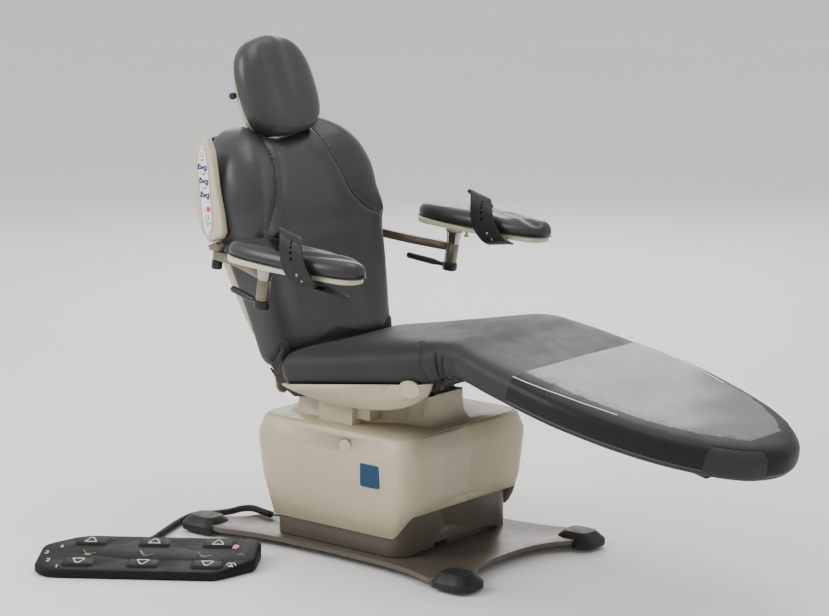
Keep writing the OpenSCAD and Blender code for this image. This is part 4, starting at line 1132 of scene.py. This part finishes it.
def foot_marks():
    pads = [(i * 164 + (3 if j > 0 else -6), 78 if j > 0 else -66, j) for i in (-1, 0, 1) for j in (1, -1)]
    bodies = ["lift_up_pad", "lift_down_pad", "back_up_pad", "back_down_pad", "leg_up_pad", "leg_down_pad"]
    for k, (x, y, j) in enumerate(pads):
        h = 14 * j
        tri = [(x - 15, y - h), (x + 15, y - h), (x + 4, y + h), (x - 4, y + h)]
        ink(f"pad_arrow_{k}", FCF, [(a, b, fz(b, 5.1)) for a, b in tri], 1.5, INK_WHITE, bodies[k], closed=True)
    for k, x in enumerate((-155, -8, 140)):
        y = 4
        def L(n, pts, mat, r):
            ink(f"chair_icon_{k}_{n}", FCF, [(x + a, y + b, fz(y + b, 0.3)) for a, b in pts], r, mat, "base")
        L("back", [(-17, 16), (-7, -6)], INK_YELLOW if k == 1 else INK_GREY, 1.7 if k == 1 else 1.1)
        L("seat", [(-7, -8), (6, -10)], INK_YELLOW if k == 2 else INK_GREY, 1.2)
        L("leg", [(6, -10), (19, -4)], INK_YELLOW if k == 2 else INK_GREY, 1.2)
        L("foot", [(-8, -17), (7, -18)], INK_YELLOW if k == 0 else INK_GREY, 2.2 if k == 0 else 1.1)
    for d, (x, y) in (("4", (-231, 40)), ("3", (-262, -2)), ("2", (-249, -54)), ("1", (-219, -96))):
        for m, st in enumerate(DIGITS[d]):
            ink(f"key_number_{d}_{m}", FCF, [(x - 4 + 8 * a, y - 9 + 18 * b, fz(y - 9 + 18 * b, 0.3)) for a, b in st], 1.1, INK_WHITE, "base")
    disc("key_stop", FCF, (213, 62, fz(62, 0.2)), 9, 1.4, INK_PINK, "base", (0, -TS, 1), 1.6)
    ink("key_light_a", FCF, [(a, b, fz(b, 0.3)) for a, b in ((228, 8), (234, 20), (240, 8))], 1.0, INK_GREY, "base")
    ink("key_light_b", FCF, [(a, b, fz(b, 0.3)) for a, b in ((224, 6), (246, 6))], 1.0, INK_GREY, "base")
    ink("key_home_a", FCF, [(a, b, fz(b, 0.3)) for a, b in ((206, -64), (210, -50), (226, -50), (230, -64))], 1.3, INK_WHITE, "base")
    ink("key_home_b", FCF, [(a, b, fz(b, 0.3)) for a, b in ((212, -72), (218, -58), (224, -72))], 1.3, INK_WHITE, "base", closed=True)


foot_marks()

PCL = [(330, -84), (362, -75), (425, -58.5), (475, -45), (530, -31.5), (568, -18)]


def pc(t, dn=0.0):
    return table(PCL, t) + dn


def panel_marks():
    half = [(t, 19.5 * max(0.02, 1 - (abs(t - 447) / 112) ** 5) ** 0.5) for t in np.linspace(336, 558, 44)]
    out = [(pc(t, w), t) for t, w in half] + [(pc(t, -w), t) for t, w in reversed(half)]
    y0 = -289.0
    rings = []
    for d, y in ((0, y0 + 0.5), (0, y0 - 0.5), (0.8, y0 - 0.9), (9, y0 - 1.0)):
        r = []
        for n, t in out:
            v = np.array([pc(t) - n, (447 - t) * 0.12])
            l = max(1e-6, np.linalg.norm(v))
            v = v / l * min(d, l * 0.9)
            r.append((n + v[0], y, t + v[1]))
        rings.append(to_world(BACK, r))
    lab = loft("panel_label", rings)
    paint(lab, LABEL)
    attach(lab, "back")
    y1 = y0 - 1.5

    def L(n, pts, mat, r, closed=False):
        o = ink("panel_" + n, BACK, [(a, y1, b) for a, b in pts], r, mat, "back", closed=closed)
        o.parent = lab

    # the view is from the near side, so larger n reads to the right
    L("edge", [(pc(t, w * 0.97), t) for t, w in half[1:-1]] + [(pc(t, -w * 0.97), t) for t, w in reversed(half[1:-1])], INK_GREY, 0.45, True)
    c = pc(538)
    L("diamond", [(c - 8, 536), (c + 1, 531), (c + 9, 539), (c, 544)], INK_GREY, 0.7, True)
    for k, t in enumerate((506, 471, 436)):
        c = pc(t)
        L(f"up_{k}", [(c - 15, t + 1), (c - 2, t - 2), (c - 9, t + 13)], INK_NAVY, 1.8, True)
        L(f"down_{k}", [(c + 1, t + 2), (c + 14, t - 1), (c + 7, t - 13)], INK_NAVY, 1.8, True)
        L(f"link_{k}", [(c - 4, t + 1), (c + 3, t)], INK_NAVY, 1.5)
        c2 = pc(t + 19)
        L(f"icon_{k}", [(c2 - 9, t + 25), (c2 - 1, t + 16), (c2 + 9, t + 18)], INK_GREY, 0.7)
        L(f"mark_{k}", [(c2 + 1, t + 19), (c2 + 5, t + 20)], INK_YELLOW, 2.0)
    disc("panel_stop", BACK, (pc(400) + 7, y1 + 0.6, 400), 7.0, 1.2, INK_RED, "back", (0, -1, 0))
    c = pc(372)
    L("cross_a", [(c - 13, 371), (c + 13, 373)], INK_GREY, 0.5)
    L("cross_b", [(c, 386), (c, 358)], INK_GREY, 0.5)
    for d, (a, b) in (("1", (-9, 376)), ("2", (4, 377)), ("3", (-9, 359)), ("4", (4, 360))):
        for m, st in enumerate(DIGITS[d]):
            L(f"num_{d}_{m}", [(c + a + 5.5 * x, b + 8 * z) for x, z in st], INK_GREY, 0.6)


panel_marks()


def badge():
    M = T(137, -249.3, 242)
    rings = []
    for hx, hz, y in ((31, 30, 1.5), (31, 30, -1.2), (30, 29, -1.9), (28.6, 27.6, -1.9), (28.2, 27.2, -1.4), (10, 10, -1.4)):
        r = []
        for sx, sz, a0 in ((1, 1, 0), (-1, 1, 90), (-1, -1, 180), (1, -1, 270)):
            rr = min(5, hx * 0.5)
            for a in (0, 22.5, 45, 67.5, 90):
                q = math.radians(a0 + a)
                r.append((sx * (hx - rr) + rr * math.cos(q), y, sz * (hz - rr) + rr * math.sin(q)))
        rings.append(to_world(M, r))
    o = loft("cover_plate", rings)
    for pl in o.data.polygons:
        pl.use_smooth = False
    paint(o, BLUE)
    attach(o, "carriage")


badge()


# ------------------------------------------------------------------ loose vinyl round the back hinge, and the collar behind the headrest
def pillow(name, outline, y0, y1, sg, bulge=4.0, folds=None, steps=7):
    """A soft closed form: an outline in x and z, between two y planes, rounded at its rims."""
    c = np.mean(np.array(outline), axis=0)
    n = len(outline)
    rings = []
    prof = [(0.55, y0), (0.16, y0), (0.04, y0 + 0.2 * (y1 - y0)), (0, lerp(y0, y1, 0.5)), (0.03, lerp(y0, y1, 0.78)), (0.1, lerp(y0, y1, 0.93)), (0.22, y1), (0.42, y1 + 0.4 * bulge), (0.7, y1 + 0.8 * bulge), (0.93, y1 + bulge)]
    for d, y in prof:
        r = []
        for q in outline:
            v = np.array(q)
            p = v + (c - v) * d
            r.append((p[0], sg * (y + (folds(p[0], p[1]) if folds and d > 0.02 and y > lerp(y0, y1, 0.4) else 0)), p[1]))
        rings.append(np.array(r) * S)
    ob = loft(name, rings)
    subsurf(ob, 1)
    return ob


def seg_dist(p, a, b):
    p, a, b = np.array(p, float), np.array(a, float), np.array(b, float)
    ab = b - a
    t = min(1, max(0, float((p - a) @ ab) / float(ab @ ab)))
    return float(np.linalg.norm(p - a - ab * t))


def hinge_folds(x, z):
    def g(a, b, w):
        return math.exp(-(seg_dist((x, z), a, b) / w) ** 2)
    return 3.5 * g((-190, 538), (-228, 512), 8) - 6 * g((-192, 518), (-228, 492), 8) + 3 * g((-192, 502), (-216, 478), 9) - 2.5 * g((-194, 488), (-200, 462), 6)


GUS = resample(catmull([(-258, 553), (-236, 551), (-208, 547), (-186, 540), (-178, 518), (-180, 490), (-176, 460), (-187, 449), (-206, 452), (-224, 466), (-240, 488), (-247, 518), (-258, 553)], 6), 6)[:-1]
for sg, nm in ((-1, "right"), (1, "left")):
    g_ = pillow("hinge_gusset_" + nm, GUS, 190, 221, sg, 2.0, hinge_folds, 6)
    paint(g_, VINYL)
    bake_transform(g_)
    tab = [(-247, 458), (-222, 450), (-198, 441), (-188, 426), (-179, 413), (-190, 406.5), (-203, 401), (-216, 405), (-221, 419), (-226, 431)]
    ring = resample(tab + [tab[0]], 4)[:-1]
    c_ = np.mean(ring, axis=0)
    rings = []
    for d, y in ((0.5, 193), (0.0, 193), (0.0, 197), (0.4, 198)):
        rings.append(np.array([(a + (c_[0] - a) * d, sg * (y + 1.2 * math.sin(a / 5)), b + (c_[1] - b) * d + 1.5 * math.sin(a * 0.9) * (d == 0)) for a, b in ring]) * S)
    o_ = loft("hinge_tab_" + nm, rings)
    paint(o_, TAB)
    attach(o_, "seat")


KNEE = [(302, 506), (311, 519), (334, 522), (344, 512), (335, 500), (315, 498), (302, 506)]


def knee_flap(sg, nm):
    """The loose end of the skin under the knee, hanging over the hinge."""
    ring = resample(KNEE, 5)[:-1]
    c_ = np.mean(ring, axis=0)
    rings = []
    for d, y in ((0.5, 211), (0.0, 211), (-0.01, 213.5), (0.0, 215.5), (0.12, 216.8), (0.5, 217.2)):
        rings.append(np.array([(a + (c_[0] - a) * d, sg * (y + (0.9 * math.sin(a / 7 + b / 16) if y > 213 else 0)), b + (c_[1] - b) * d) for a, b in ring]) * S)
    o_ = loft("knee_flap_" + nm, rings)
    subsurf(o_, 1)
    # The flap takes the shaded copy of the vinyl: painted shade under the knee.
    paint(o_, VINYL_SHADE)
    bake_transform(o_)


for sg, nm in ((-1, "right"), (1, "left")):
    knee_flap(sg, nm)
    # the shallow oval boss at the knee end of the seat's side cover
    rings = []
    for d, y in ((1.0, 243), (1.0, 251.2), (0.975, 252.2), (0.90, 252.4), (0.86, 251.5), (0.80, 251.2), (0.4, 251.5), (0.08, 251.6)):
        rings.append(np.array([(268 + 33 * d * math.cos(a), sg * y, 485 + 21.5 * d * math.sin(a)) for a in np.linspace(0, 2 * math.pi, 48, endpoint=False)]) * S)
    o_ = loft("cover_boss_" + nm, rings)
    paint(o_, BEIGE)
    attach(o_, "seat")


def collar():
    out = resample(catmull([(-118, 530), (-120, 560), (-118, 582), (-96, 592), (-50, 594), (0, 594), (50, 594), (96, 592), (118, 582), (120, 560), (118, 530), (60, 520), (0, 516), (-60, 520), (-118, 530)], 5), 8)[:-1]
    c = np.array((0, 552))
    rings = []
    for d, n in ((0.5, -80), (0.1, -80), (0.02, -76), (0, -66), (0.02, -57), (0.09, -53), (0.3, -52), (0.7, -52)):
        rings.append(to_world(BACK, [(n, *(np.array(q) + (c - np.array(q)) * d)) for q in out]))
    ob = loft("headrest_collar", rings)
    subsurf(ob, 1)
    # The collar takes the shaded copy of the vinyl: painted shade behind the headrest.
    paint(ob, VINYL_SHADE)
    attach(ob, "back")


collar()


# ------------------------------------------------------------------ room and light
def make_room():
    me = bpy.data.meshes.new("floor")
    me.from_pydata([(-30, -30, -0.0005), (30, -30, -0.0005), (30, 30, -0.0005), (-30, 30, -0.0005)], [], [[0, 1, 2, 3]])
    floor = bpy.data.objects.new("floor", me)
    COLL.objects.link(floor)
    fm = Mat("floor_pale", (0.86, 0.86, 0.855, 1), 0.6, var=0.01, vscale=1, spec=0.2)
    floor.data.materials.append(fm.m)
    w = bpy.data.worlds.new("studio")
    bpy.context.scene.world = w
    w.use_nodes = True
    w.node_tree.nodes["Background"].inputs[0].default_value = (1, 1, 1, 1)
    w.node_tree.nodes["Background"].inputs[1].default_value = 0.9

    def area(name, loc, aim, size, power, sy=None):
        d = bpy.data.lights.new(name, "AREA")
        d.energy = power
        d.shape = "RECTANGLE"
        d.size, d.size_y = size, sy or size
        o = bpy.data.objects.new(name, d)
        COLL.objects.link(o)
        o.location = loc
        o.rotation_mode = "QUATERNION"
        o.rotation_quaternion = (Vector(aim) - Vector(loc)).to_track_quat("-Z", "Y")
        return o

    area("key", (-2.6, -3.6, 3.4), (0, 0, 0.6), 2.4, 150)
    area("back_panel", (-2.6, 3.6, 2.6), (0.6, 0, 0.6), 3.2, 90, 2.4)
    area("top", (0.4, 0.4, 4.2), (0.3, 0, 0.5), 2.6, 60)


make_room()
